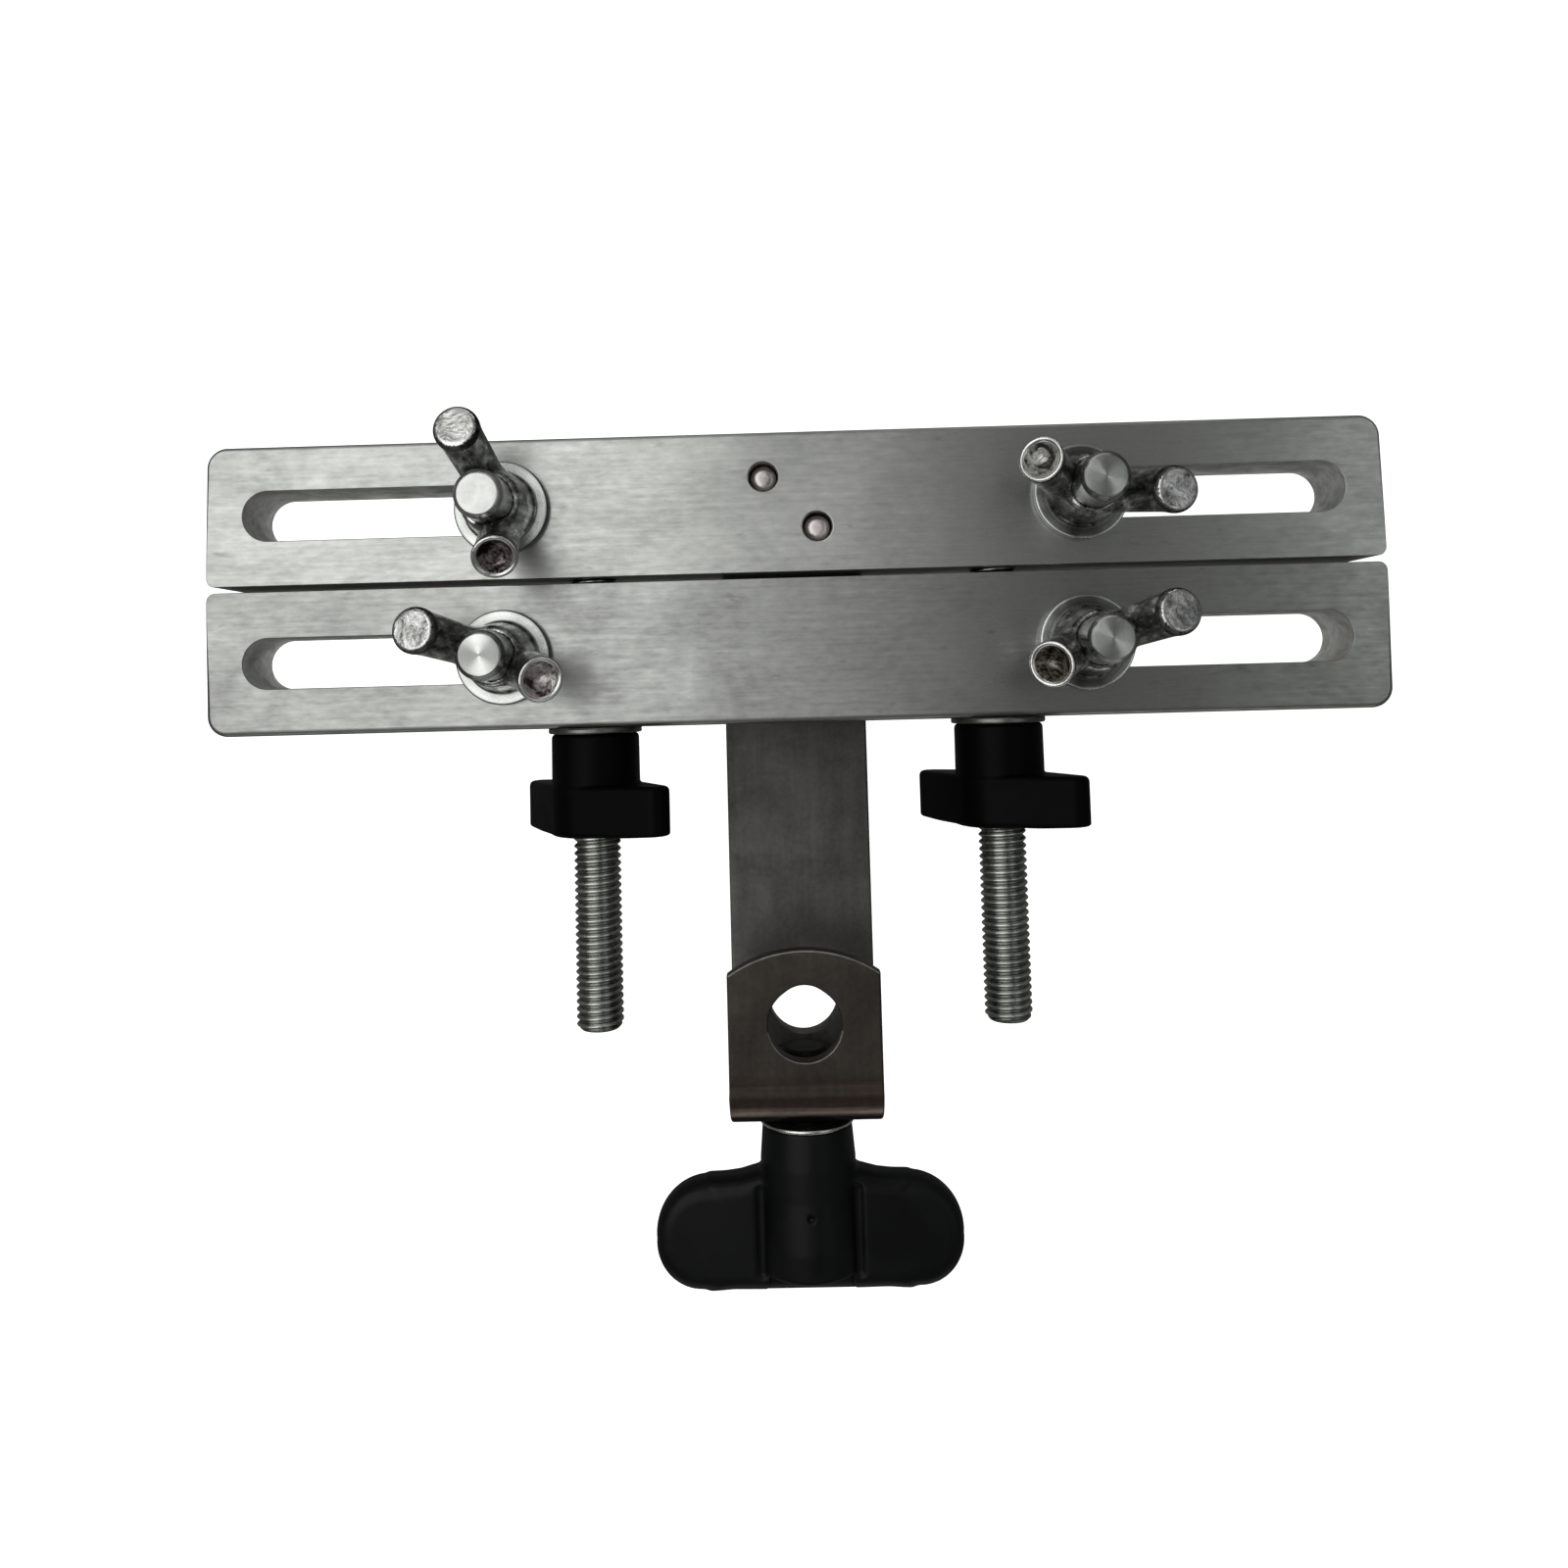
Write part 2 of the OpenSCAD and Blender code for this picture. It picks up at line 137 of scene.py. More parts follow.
def rounded(profile, radii, n=4):
    """Rounds the corners of a closed polyline of (r, z) points, one radius per point."""
    out = []
    N = len(profile)
    for i in range(N):
        p = Vector(profile[i])
        rad = radii[i]
        if rad <= 0:
            out.append(tuple(p))
            continue
        a, b = Vector(profile[i - 1]) - p, Vector(profile[(i + 1) % N]) - p
        a.normalize()
        b.normalize()
        half = a.angle(b) / 2
        t = rad / math.tan(half)
        c = p + (a + b).normalized() * (rad / math.sin(half))
        s, e = p + a * t - c, p + b * t - c
        w = s.angle(e)
        for k in range(n + 1):
            f = k / n
            v = (s * math.sin((1 - f) * w) + e * math.sin(f * w)) / math.sin(w)
            q = c + v
            out.append((q.x, q.y))
    return out


def arc(cx, cy, r, a0, a1, n):
    return [(cx + r * math.cos(math.radians(a0 + (a1 - a0) * k / n)), cy + r * math.sin(math.radians(a0 + (a1 - a0) * k / n))) for k in range(n + 1)]


def stretch(a, b, step):
    """Points strictly between a and b, about step apart."""
    a, b = Vector(a), Vector(b)
    n = max(1, round((b - a).length / step))
    return [tuple(a.lerp(b, k / n)) for k in range(1, n)]


def plate(loops, z0, z1, segs=4):
    """Solid from outlines: the first runs counter-clockwise, holes clockwise. Each loop is (points, top edge radius, bottom edge radius);
    a radius is a number or a function of (x, y)."""
    verts, faces, caps = [], [], ([], [])
    for pts, bt, bb in loops:
        clean = [pts[0]]
        for p in pts[1:]:
            if (Vector(p) - Vector(clean[-1])).length > 1e-5:
                clean.append(p)
        if (Vector(clean[0]) - Vector(clean[-1])).length < 1e-5:
            clean.pop()
        pts = clean
        N = len(pts)
        nor = []
        for i in range(N):
            a, p, b = Vector(pts[i - 1]), Vector(pts[i]), Vector(pts[(i + 1) % N])
            d1, d2 = (p - a).normalized(), (b - p).normalized()
            n = Vector((d1.y + d2.y, -d1.x - d2.x)).normalized()
            nor.append(n / max(0.5, n.dot(Vector((d1.y, -d1.x)))))
        ft = bt if callable(bt) else (lambda x, y, v=bt: v)
        fb = bb if callable(bb) else (lambda x, y, v=bb: v)
        rings = []
        prof = [("b", math.pi / 2 * k / segs) for k in range(segs + 1)] + [("t", math.pi / 2 * k / segs) for k in range(segs + 1)]
        for side, a in prof:
            ring = []
            for p, n in zip(pts, nor):
                if side == "b":
                    r = fb(*p)
                    off, z = r * (1 - math.sin(a)), z0 + r * (1 - math.cos(a))
                else:
                    r = ft(*p)
                    off, z = r * (1 - math.cos(a)), z1 - r * (1 - math.sin(a))
                ring.append(len(verts))
                verts.append((p[0] - n.x * off, p[1] - n.y * off, z))
            rings.append(ring)
        for A, B in zip(rings, rings[1:]):
            for i in range(N):
                j = (i + 1) % N
                faces.append((A[i], A[j], B[j], B[i]))
        caps[0].append(rings[0])
        caps[1].append(rings[-1])
    for which, sign in ((0, -1), (1, 1)):
        flat = [i for ring in caps[which] for i in ring]
        for t in tessellate_polygon([[Vector(verts[i]) for i in ring] for ring in caps[which]]):
            t = tuple(flat[i] for i in t)
            a, b, c = (Vector(verts[i]) for i in t)
            if ((b - a).cross(c - a)).z * sign < 0:
                t = t[::-1]
            faces.append(t)
    return verts, faces


def cut(o, verts, faces):
    """Cuts a closed mesh, given in the object's own millimetres, out of an object."""
    me = bpy.data.meshes.new("cutter")
    me.from_pydata([tuple(c * MM for c in v) for v in verts], [], faces)
    bm = bmesh.new()
    bm.from_mesh(me)
    bmesh.ops.recalc_face_normals(bm, faces=bm.faces)
    bm.to_mesh(me)
    bm.free()
    c = bpy.data.objects.new("cutter", me)
    scene.collection.objects.link(c)
    c.matrix_world = o.matrix_world
    m = o.modifiers.new("cut", "BOOLEAN")
    m.operation, m.solver, m.object = "DIFFERENCE", "EXACT", c
    dg = bpy.context.evaluated_depsgraph_get()
    new = bpy.data.meshes.new_from_object(o.evaluated_get(dg))
    o.modifiers.clear()
    old, o.data = o.data, new
    new.name = old.name
    bpy.data.meshes.remove(old)
    bpy.data.objects.remove(c)
    bpy.data.meshes.remove(me)


# ------------------------------------------------------------------ implicit shapes (mm)
def smin(a, b, k):
    h = np.maximum(k - np.abs(a - b), 0.0) / k
    return np.minimum(a, b) - h * h * k * 0.25


def smax(a, b, k):
    return -smin(-a, -b, k)


def net(f, lo, hi, h):
    """Surface net of f = 0, with its points then moved onto the surface."""
    lo, hi = np.array(lo, float), np.array(hi, float)
    n = np.ceil((hi - lo) / h).astype(int) + 1
    ax = [lo[i] + h * np.arange(n[i]) for i in range(3)]
    G = np.stack(np.meshgrid(*ax, indexing="ij"), -1)
    V = f(G.reshape(-1, 3)).reshape(n)
    S = V < 0
    c = [S[i:n[0] - 1 + i, j:n[1] - 1 + j, k:n[2] - 1 + k] for i in (0, 1) for j in (0, 1) for k in (0, 1)]
    tot = sum(x.astype(np.int8) for x in c)
    act = (tot > 0) & (tot < 8)
    idx = -np.ones(act.shape, int)
    idx[act] = np.arange(act.sum())
    I, J, K = np.nonzero(act)
    P, W = np.zeros((len(I), 3)), np.zeros(len(I))
    corners = [(0, 0, 0), (1, 0, 0), (0, 1, 0), (1, 1, 0), (0, 0, 1), (1, 0, 1), (0, 1, 1), (1, 1, 1)]
    for a in range(8):
        for axis in range(3):
            A = corners[a]
            if A[axis]:
                continue
            B = list(A)
            B[axis] = 1
            va, vb = V[I + A[0], J + A[1], K + A[2]], V[I + B[0], J + B[1], K + B[2]]
            m = (va < 0) != (vb < 0)
            t = np.where(m, va / np.where(m, va - vb, 1), 0)
            pt = np.stack([I + A[0], J + A[1], K + A[2]], -1).astype(float)
            pt[:, axis] += t
            P += pt * m[:, None]
            W += m
    P = lo + h * P / W[:, None]
    faces = []
    for axis in range(3):
        b, d = [(1, 2), (2, 0), (0, 1)][axis]
        sl0, sl1 = [slice(None)] * 3, [slice(None)] * 3
        sl0[axis], sl1[axis] = slice(0, n[axis] - 1), slice(1, n[axis])
        diff = S[tuple(sl0)] != S[tuple(sl1)]
        first = S[tuple(sl0)]
        q = np.argwhere(diff)
        ok = (q[:, b] > 0) & (q[:, d] > 0) & (q[:, b] < n[b] - 1) & (q[:, d] < n[d] - 1)
        q = q[ok]
        inside = first[q[:, 0], q[:, 1], q[:, 2]]
        def at(db, dd):
            r = q.copy()
            r[:, b] -= db
            r[:, d] -= dd
            return idx[r[:, 0], r[:, 1], r[:, 2]]
        quad = np.stack([at(1, 1), at(0, 1), at(0, 0), at(1, 0)], -1)
        quad[~inside] = quad[~inside][:, ::-1]
        faces.append(quad)
    faces = np.concatenate(faces)
    e = 0.02
    for _ in range(6):
        v = f(P)
        g = np.stack([f(P + d) - f(P - d) for d in np.eye(3) * e], -1) / (2 * e)
        g2 = np.maximum((g * g).sum(-1), 0.04)
        P = P - np.clip(v / g2, -0.3, 0.3)[:, None] * g
    return [tuple(p) for p in P], [tuple(int(i) for i in q) for q in faces]


# ------------------------------------------------------------------ materials
def nodes_of(m):
    m.use_nodes = True
    nt = m.node_tree
    nt.nodes.clear()
    out = nt.nodes.new("ShaderNodeOutputMaterial")
    bsdf = nt.nodes.new("ShaderNodeBsdfPrincipled")
    nt.links.new(bsdf.outputs[0], out.inputs[0])
    return nt, bsdf


def coords(nt, scale=(1, 1, 1), rot=(0, 0, 0)):
    tc = nt.nodes.new("ShaderNodeTexCoord")
    mp = nt.nodes.new("ShaderNodeMapping")
    mp.inputs["Scale"].default_value = scale
    mp.inputs["Rotation"].default_value = rot
    nt.links.new(tc.outputs["Object"], mp.inputs["Vector"])
    return mp.outputs["Vector"]


def noise(nt, vec, scale, detail=4.0, rough=0.55, dist=0.0):
    n = nt.nodes.new("ShaderNodeTexNoise")
    n.inputs["Scale"].default_value = scale
    n.inputs["Detail"].default_value = detail
    n.inputs["Roughness"].default_value = rough
    n.inputs["Distortion"].default_value = dist
    nt.links.new(vec, n.inputs["Vector"])
    return n.outputs["Fac"]


def ramp(nt, fac, stops):
    r = nt.nodes.new("ShaderNodeValToRGB")
    el = r.color_ramp.elements
    while len(el) < len(stops):
        el.new(0.5)
    for e, (p, c) in zip(el, stops):
        e.position = p
        e.color = (c, c, c, 1) if isinstance(c, (int, float)) else (*c, 1)
    nt.links.new(fac, r.inputs["Fac"])
    return r.outputs["Color"]


def mixc(nt, fac, a, b, kind="MIX"):
    m = nt.nodes.new("ShaderNodeMix")
    m.data_type = "RGBA"
    m.blend_type = kind
    for s, v in (("Factor", fac), ("A", a), ("B", b)):
        sock = [i for i in m.inputs if i.name == s and (i.type == "RGBA" or s == "Factor" and i.type == "VALUE")][0]
        if isinstance(v, bpy.types.NodeSocket):
            nt.links.new(v, sock)
        elif isinstance(v, (int, float)):
            sock.default_value = v
        else:
            sock.default_value = (*v, 1)
    return [o for o in m.outputs if o.type == "RGBA"][0]


def math_node(nt, op, a, b=None):
    m = nt.nodes.new("ShaderNodeMath")
    m.operation = op
    for i, v in enumerate((a, b)):
        if v is None:
            continue
        if isinstance(v, bpy.types.NodeSocket):
            nt.links.new(v, m.inputs[i])
        else:
            m.inputs[i].default_value = v
    return m.outputs[0]


def bump(nt, height, strength, distance, normal=None):
    b = nt.nodes.new("ShaderNodeBump")
    b.inputs["Strength"].default_value = strength
    b.inputs["Distance"].default_value = distance
    nt.links.new(height, b.inputs["Height"])
    if normal is not None:
        nt.links.new(normal, b.inputs["Normal"])
    return b.outputs["Normal"]


def tangent(nt, b, axis, rotation=0.0):
    t = nt.nodes.new("ShaderNodeTangent")
    t.direction_type, t.axis = "RADIAL", axis
    nt.links.new(t.outputs["Tangent"], b.inputs["Tangent"])
    b.inputs["Anisotropic Rotation"].default_value = rotation


def brushed(name, dark, light, rough0, rough1):
    """Flat-ground steel: short fine lines along X over soft blotches, with a few darker flecks."""
    m = bpy.data.materials.new(name)
    nt, b = nodes_of(m)
    fine = noise(nt, coords(nt, (70, 1500, 1500)), 1.0, 5.0, 0.7)
    broad = noise(nt, coords(nt, (24, 260, 260)), 1.0, 3.0, 0.6)
    blot = noise(nt, coords(nt, (38, 55, 55)), 1.0, 4.0, 0.6, 0.9)
    grain = noise(nt, coords(nt, (380, 900, 900)), 1.0, 3.0, 0.6)
    flecks = noise(nt, coords(nt, (170, 420, 420)), 1.0, 3.0, 0.6)
    f = [math_node(nt, "MULTIPLY", n, k) for n, k in ((fine, 0.26), (broad, 0.08), (blot, 0.38), (grain, 0.28))]
    tot = math_node(nt, "ADD", math_node(nt, "ADD", f[0], f[1]), math_node(nt, "ADD", f[2], f[3]))
    col = ramp(nt, tot, [(0.37, dark), (0.63, light)])
    col = mixc(nt, 1.0, col, ramp(nt, flecks, [(0.24, 0.70), (0.36, 1.0)]), "MULTIPLY")
    nt.links.new(col, b.inputs["Base Color"])
    b.inputs["Metallic"].default_value = 1.0
    rr = nt.nodes.new("ShaderNodeMapRange")
    rr.inputs["From Min"].default_value, rr.inputs["From Max"].default_value = 0.38, 0.62
    rr.inputs["To Min"].default_value, rr.inputs["To Max"].default_value = rough1, rough0
    nt.links.new(tot, rr.inputs["Value"])
    nt.links.new(rr.outputs["Result"], b.inputs["Roughness"])
    b.inputs["Anisotropic"].default_value = 0.5
    n1 = bump(nt, fine, 0.16, 0.00003)
    n2 = bump(nt, grain, 0.16, 0.00004, n1)
    nt.links.new(bump(nt, blot, 0.10, 0.0002, n2), b.inputs["Normal"])
    tangent(nt, b, "X")
    return m


def zinc(name, dark, light, rough0, rough1, grain=900.0, bumpy=0.15, rings=0.0):
    """Bright zinc plate: mottled, slightly uneven, optionally with turned rings about local Z."""
    m = bpy.data.materials.new(name)
    nt, b = nodes_of(m)
    v = coords(nt)
    g = noise(nt, v, grain, 5.0, 0.6)
    w = noise(nt, v, grain * 0.22, 3.0, 0.5, 0.5)
    tot = math_node(nt, "ADD", math_node(nt, "MULTIPLY", g, 0.4), math_node(nt, "MULTIPLY", w, 0.6))
    nt.links.new(ramp(nt, tot, [(0.35, dark), (0.62, light)]), b.inputs["Base Color"])
    b.inputs["Metallic"].default_value = 1.0
    rr = nt.nodes.new("ShaderNodeMapRange")
    rr.inputs["From Min"].default_value, rr.inputs["From Max"].default_value = 0.35, 0.65
    rr.inputs["To Min"].default_value, rr.inputs["To Max"].default_value = rough0, rough1
    nt.links.new(tot, rr.inputs["Value"])
    nt.links.new(rr.outputs["Result"], b.inputs["Roughness"])
    nrm = bump(nt, w, bumpy, 0.0003)
    nrm = bump(nt, g, bumpy * 0.8, 0.0001, nrm)
    if rings:
        wv = nt.nodes.new("ShaderNodeTexWave")
        wv.wave_type, wv.rings_direction = "RINGS", "Z"
        wv.inputs["Scale"].default_value = 1500.0
        wv.inputs["Distortion"].default_value = 0.6
        wv.inputs["Detail"].default_value = 2.0
        nt.links.new(v, wv.inputs["Vector"])
        nrm = bump(nt, wv.outputs["Fac"], rings, 0.00006, nrm)
        b.inputs["Anisotropic"].default_value = 0.75
        tangent(nt, b, "Z", 0.25)
    nt.links.new(nrm, b.inputs["Normal"])
    return m


def plastic(name, base, rough0, rough1, spec=0.3, grain=700.0):
    """Moulded black plastic, semi-gloss, with faint flow marks."""
    m = bpy.data.materials.new(name)
    nt, b = nodes_of(m)
    v = coords(nt)
    g = noise(nt, v, grain, 4.0, 0.6)
    w = noise(nt, v, 90.0, 3.0, 0.5, 0.8)
    c0 = tuple(c * 0.8 for c in base)
    c1 = tuple(c * 1.35 for c in base)
    nt.links.new(ramp(nt, w, [(0.35, c0), (0.65, c1)]), b.inputs["Base Color"])
    rr = nt.nodes.new("ShaderNodeMapRange")
    rr.inputs["From Min"].default_value, rr.inputs["From Max"].default_value = 0.35, 0.65
    rr.inputs["To Min"].default_value, rr.inputs["To Max"].default_value = rough0, rough1
    nt.links.new(w, rr.inputs["Value"])
    nt.links.new(rr.outputs["Result"], b.inputs["Roughness"])
    b.inputs["Specular IOR Level"].default_value = spec
    nrm = bump(nt, w, 0.12, 0.0006)
    nt.links.new(bump(nt, g, 0.10, 0.00008, nrm), b.inputs["Normal"])
    return m


def xyz(nt):
    tc = nt.nodes.new("ShaderNodeTexCoord")
    sp = nt.nodes.new("ShaderNodeSeparateXYZ")
    nt.links.new(tc.outputs["Object"], sp.inputs[0])
    return sp.outputs


def span(nt, v, a, b):
    r = nt.nodes.new("ShaderNodeMapRange")
    r.inputs["From Min"].default_value, r.inputs["From Max"].default_value = a, b
    nt.links.new(v, r.inputs["Value"])
    return r.outputs["Result"]


def dark_steel(name, dark, light, painted_bend_light=False):
    """Blackened flat bar: satin, cloudy, with fine pits and faint lines; the bend option adds painted shade on the rear
    leg next to the lower bar, a warm tint on the front leg, and painted highlight and painted shade bands across the
    front bend.
    """
    m = bpy.data.materials.new(name)
    nt, b = nodes_of(m)
    v = coords(nt)
    cloud = noise(nt, v, 70.0, 5.0, 0.6, 0.6)
    pits = noise(nt, v, 1300.0, 3.0, 0.6)
    lines = noise(nt, coords(nt, (700, 60, 700)), 1.0, 4.0, 0.6)
    tot = math_node(nt, "ADD", math_node(nt, "ADD", math_node(nt, "MULTIPLY", cloud, 0.5), math_node(nt, "MULTIPLY", pits, 0.25)), math_node(nt, "MULTIPLY", lines, 0.25))
    col = ramp(nt, tot, [(0.38, dark), (0.62, light)])
    if painted_bend_light:
        pos = xyz(nt)
        front = span(nt, pos["Z"], 0.0005, 0.0015)
        # painted shade: the rear leg is darkest next to the lower bar and up to 1.7 times lighter towards the bend
        painted_bar_shade = ramp(nt, span(nt, pos["Y"], 0.046, 0.014), [(0.0, 1.0), (1.0, 1.7)])
        col = mixc(nt, front, mixc(nt, 1.0, col, painted_bar_shade, "MULTIPLY"), mixc(nt, 1.0, col, (0.82, 0.72, 0.64), "MULTIPLY"))
        across = noise(nt, coords(nt, (18, 900, 900)), 1.0, 4.0, 0.6)
        shift = math_node(nt, "MULTIPLY", math_node(nt, "SUBTRACT", across, 0.5), 0.0022)
        y = span(nt, math_node(nt, "ADD", pos["Y"], shift), -0.0173, -0.0073)
        # painted highlight and painted shade across the front bend: dark bands either side of a bright line, with a
        # ragged edge
        painted_bend_bands = ramp(nt, y, [(0.0, (0.12, 0.10, 0.10)), (0.20, (0.20, 0.17, 0.17)), (0.29, (5.5, 5.1, 5.0)), (0.35, (3.0, 2.6, 2.5)), (0.42, (1.05, 0.78, 0.77)),
                            (0.54, (1.15, 0.95, 0.92)), (0.63, (1.7, 1.62, 1.55)), (0.72, (1.2, 1.15, 1.12)), (0.80, (0.80, 0.68, 0.66)), (1.0, (1.0, 1.0, 1.0))])
        inbend = math_node(nt, "MULTIPLY", span(nt, pos["Y"], -0.0069, -0.0079), span(nt, pos["Z"], -0.005, -0.002))
        col = mixc(nt, inbend, col, mixc(nt, 1.0, col, painted_bend_bands, "MULTIPLY"))
    nt.links.new(col, b.inputs["Base Color"])
    b.inputs["Metallic"].default_value = 0.75
    rr = nt.nodes.new("ShaderNodeMapRange")
    rr.inputs["From Min"].default_value, rr.inputs["From Max"].default_value = 0.35, 0.65
    rr.inputs["To Min"].default_value, rr.inputs["To Max"].default_value = 0.52, 0.40
    nt.links.new(cloud, rr.inputs["Value"])
    nt.links.new(rr.outputs["Result"], b.inputs["Roughness"])
    nrm = bump(nt, pits, 0.25, 0.00008)
    nt.links.new(bump(nt, lines, 0.12, 0.0001, nrm), b.inputs["Normal"])
    return m


def forged(name):
    """Plated forging: streaks run up the prongs, their near-white lines partly painted highlight, and the lower parts
    are painted darker towards the foot as painted shade.
    """
    m = bpy.data.materials.new(name)
    nt, b = nodes_of(m)
    streak = noise(nt, coords(nt, (520, 520, 90)), 1.0, 5.0, 0.7)
    patch = noise(nt, coords(nt), 230.0, 4.0, 0.6, 0.8)
    pos = xyz(nt)
    tot = math_node(nt, "ADD", math_node(nt, "MULTIPLY", streak, 0.6), math_node(nt, "MULTIPLY", patch, 0.4))
    # streaks: partly the forging's own streaks, partly painted highlight lines at the bright end of the ramp
    col = ramp(nt, tot, [(0.41, (0.06, 0.062, 0.057)), (0.49, (0.26, 0.265, 0.25)), (0.54, (0.55, 0.56, 0.54)), (0.60, (0.98, 0.99, 0.97))])
    # painted shade: 0.7 times as bright at the foot, full brightness by 14 mm up
    painted_shade_by_hub = ramp(nt, span(nt, pos["Z"], 0.001, 0.014), [(0.0, 0.7), (0.5, 0.9), (1.0, 1.0)])
    nt.links.new(mixc(nt, 1.0, col, painted_shade_by_hub, "MULTIPLY"), b.inputs["Base Color"])
    b.inputs["Metallic"].default_value = 1.0
    rr = nt.nodes.new("ShaderNodeMapRange")
    rr.inputs["From Min"].default_value, rr.inputs["From Max"].default_value = 0.35, 0.65
    rr.inputs["To Min"].default_value, rr.inputs["To Max"].default_value = 0.36, 0.22
    nt.links.new(tot, rr.inputs["Value"])
    nt.links.new(rr.outputs["Result"], b.inputs["Roughness"])
    nrm = bump(nt, patch, 0.3, 0.0004)
    nt.links.new(bump(nt, streak, 0.28, 0.0002, nrm), b.inputs["Normal"])
    return m


def thread_metal(name, dark, light):
    """Zinc on a rolled thread, with painted shade in the thread roots and along the length that runs inside and between
    the bars.
    """
    m = bpy.data.materials.new(name)
    nt, b = nodes_of(m)
    pos = xyz(nt)
    # painted shade: half as bright along the rod inside and between the bars, full brightness just below the lower bar
    painted_shade_in_bars = ramp(nt, span(nt, pos["Z"], 0.0360, 0.0430), [(0.0, 0.50), (1.0, 1.0)])
    r = math_node(nt, "SQRT", math_node(nt, "ADD", math_node(nt, "MULTIPLY", pos["X"], pos["X"]), math_node(nt, "MULTIPLY", pos["Y"], pos["Y"])))
    g = noise(nt, coords(nt), 1200.0, 4.0, 0.6)
    w = noise(nt, coords(nt), 160.0, 3.0, 0.6, 0.5)
    col = ramp(nt, math_node(nt, "ADD", math_node(nt, "MULTIPLY", g, 0.5), math_node(nt, "MULTIPLY", w, 0.5)), [(0.36, dark), (0.62, light)])
    # painted shade in the thread roots, darker towards the root radius
    painted_root_shade = ramp(nt, span(nt, r, 0.0034, 0.0040), [(0.0, 0.30), (0.45, 0.55), (0.85, 1.0)])
    col = mixc(nt, 1.0, col, painted_shade_in_bars, "MULTIPLY")
    nt.links.new(mixc(nt, 1.0, col, painted_root_shade, "MULTIPLY"), b.inputs["Base Color"])
    b.inputs["Metallic"].default_value = 1.0
    rr = nt.nodes.new("ShaderNodeMapRange")
    rr.inputs["From Min"].default_value, rr.inputs["From Max"].default_value = 0.35, 0.65
    rr.inputs["To Min"].default_value, rr.inputs["To Max"].default_value = 0.24, 0.38
    nt.links.new(g, rr.inputs["Value"])
    nt.links.new(rr.outputs["Result"], b.inputs["Roughness"])
    nt.links.new(bump(nt, g, 0.2, 0.0001), b.inputs["Normal"])
    return m


M_BAR = brushed("brushed_stainless", (0.38, 0.39, 0.375), (0.61, 0.62, 0.60), 0.26, 0.40)
# darker copy of the bar steel for the sliding jaw, as painted shade
M_BAR_SHADED = brushed("brushed_stainless_jaw_painted_shade", (0.285, 0.29, 0.28), (0.49, 0.50, 0.485), 0.26, 0.40)
M_SLOT = zinc("milled_slot_wall", (0.22, 0.22, 0.21), (0.50, 0.50, 0.48), 0.38, 0.55, grain=900.0, bumpy=0.45)
for q in M_SLOT.node_tree.nodes:
    if q.type == "BSDF_PRINCIPLED":
        q.inputs["Metallic"].default_value = 0.25
M_ZINC = zinc("zinc_plate", (0.36, 0.37, 0.35), (0.62, 0.63, 0.61), 0.22, 0.36)
M_TURN = zinc("zinc_turned", (0.44, 0.45, 0.44), (0.70, 0.71, 0.69), 0.16, 0.27, rings=0.35)


def rings_with_painted_light(name, stops, r0, r1, fan=0.0, fan_angle=100.0, patch=0.25):
    """Turned face about local Z: bright and dark rings by radius as painted highlight and painted shade, with an
    optional two-lobed painted sheen, soft patches, and the turned grooves as bump.
    """
    m = bpy.data.materials.new(name)
    nt, b = nodes_of(m)
    pos = xyz(nt)
    r = math_node(nt, "SQRT", math_node(nt, "ADD", math_node(nt, "MULTIPLY", pos["X"], pos["X"]), math_node(nt, "MULTIPLY", pos["Y"], pos["Y"])))
    # painted highlight and painted shade as bright and dark rings by radius
    col = ramp(nt, span(nt, r, r0, r1), stops)
    w = noise(nt, coords(nt), 220.0, 4.0, 0.6, 0.6)
    col = mixc(nt, 1.0, col, ramp(nt, w, [(0.35, 1.0 - patch), (0.65, 1.0)]), "MULTIPLY")
    col = mixc(nt, 1.0, col, (0.975, 1.0, 0.965), "MULTIPLY")
    if fan:
        # painted sheen: two bright lobes fixed to the part
        ang = math_node(nt, "SUBTRACT", math_node(nt, "ARCTAN2", pos["Y"], pos["X"]), math.radians(fan_angle))
        lobe = math_node(nt, "POWER", math_node(nt, "ABSOLUTE", math_node(nt, "COSINE", ang)), 5.0)
        col = mixc(nt, 1.0, col, ramp(nt, lobe, [(0.0, 1.0 - fan), (0.25, 1.0 - fan * 0.6), (1.0, 1.0)]), "MULTIPLY")
    nt.links.new(col, b.inputs["Base Color"])
    b.inputs["Metallic"].default_value = 1.0
    nt.links.new(ramp(nt, w, [(0.35, 0.16), (0.65, 0.28)]), b.inputs["Roughness"])
    wv = nt.nodes.new("ShaderNodeTexWave")
    wv.wave_type, wv.rings_direction = "RINGS", "Z"
    wv.inputs["Scale"].default_value = 1500.0
    wv.inputs["Distortion"].default_value = 0.6
    nt.links.new(coords(nt), wv.inputs["Vector"])
    nt.links.new(bump(nt, wv.outputs["Fac"], 0.3, 0.00006, bump(nt, w, 0.15, 0.0002)), b.inputs["Normal"])
    b.inputs["Anisotropic"].default_value = 0.75
    tangent(nt, b, "Z", 0.25)
    return m


# washer faces: a bright ring band as painted highlight and dark rings near bore and rim as painted shade; left and
# right copies differ in brightness as lit and shaded copies
M_WASHL = rings_with_painted_light("washer_face_left", [(0.0, 0.10), (0.20, 0.22), (0.30, 0.78), (0.70, 0.93), (0.84, 0.85), (0.91, 0.22), (1.0, 0.10)], 0.0057, 0.0080, patch=0.25)
M_WASHR = rings_with_painted_light("washer_face_right", [(0.0, 0.10), (0.25, 0.40), (0.36, 0.20), (0.60, 0.30), (0.78, 0.34), (0.87, 0.95), (0.95, 1.0), (1.0, 0.6)], 0.0057, 0.0080, patch=0.35)
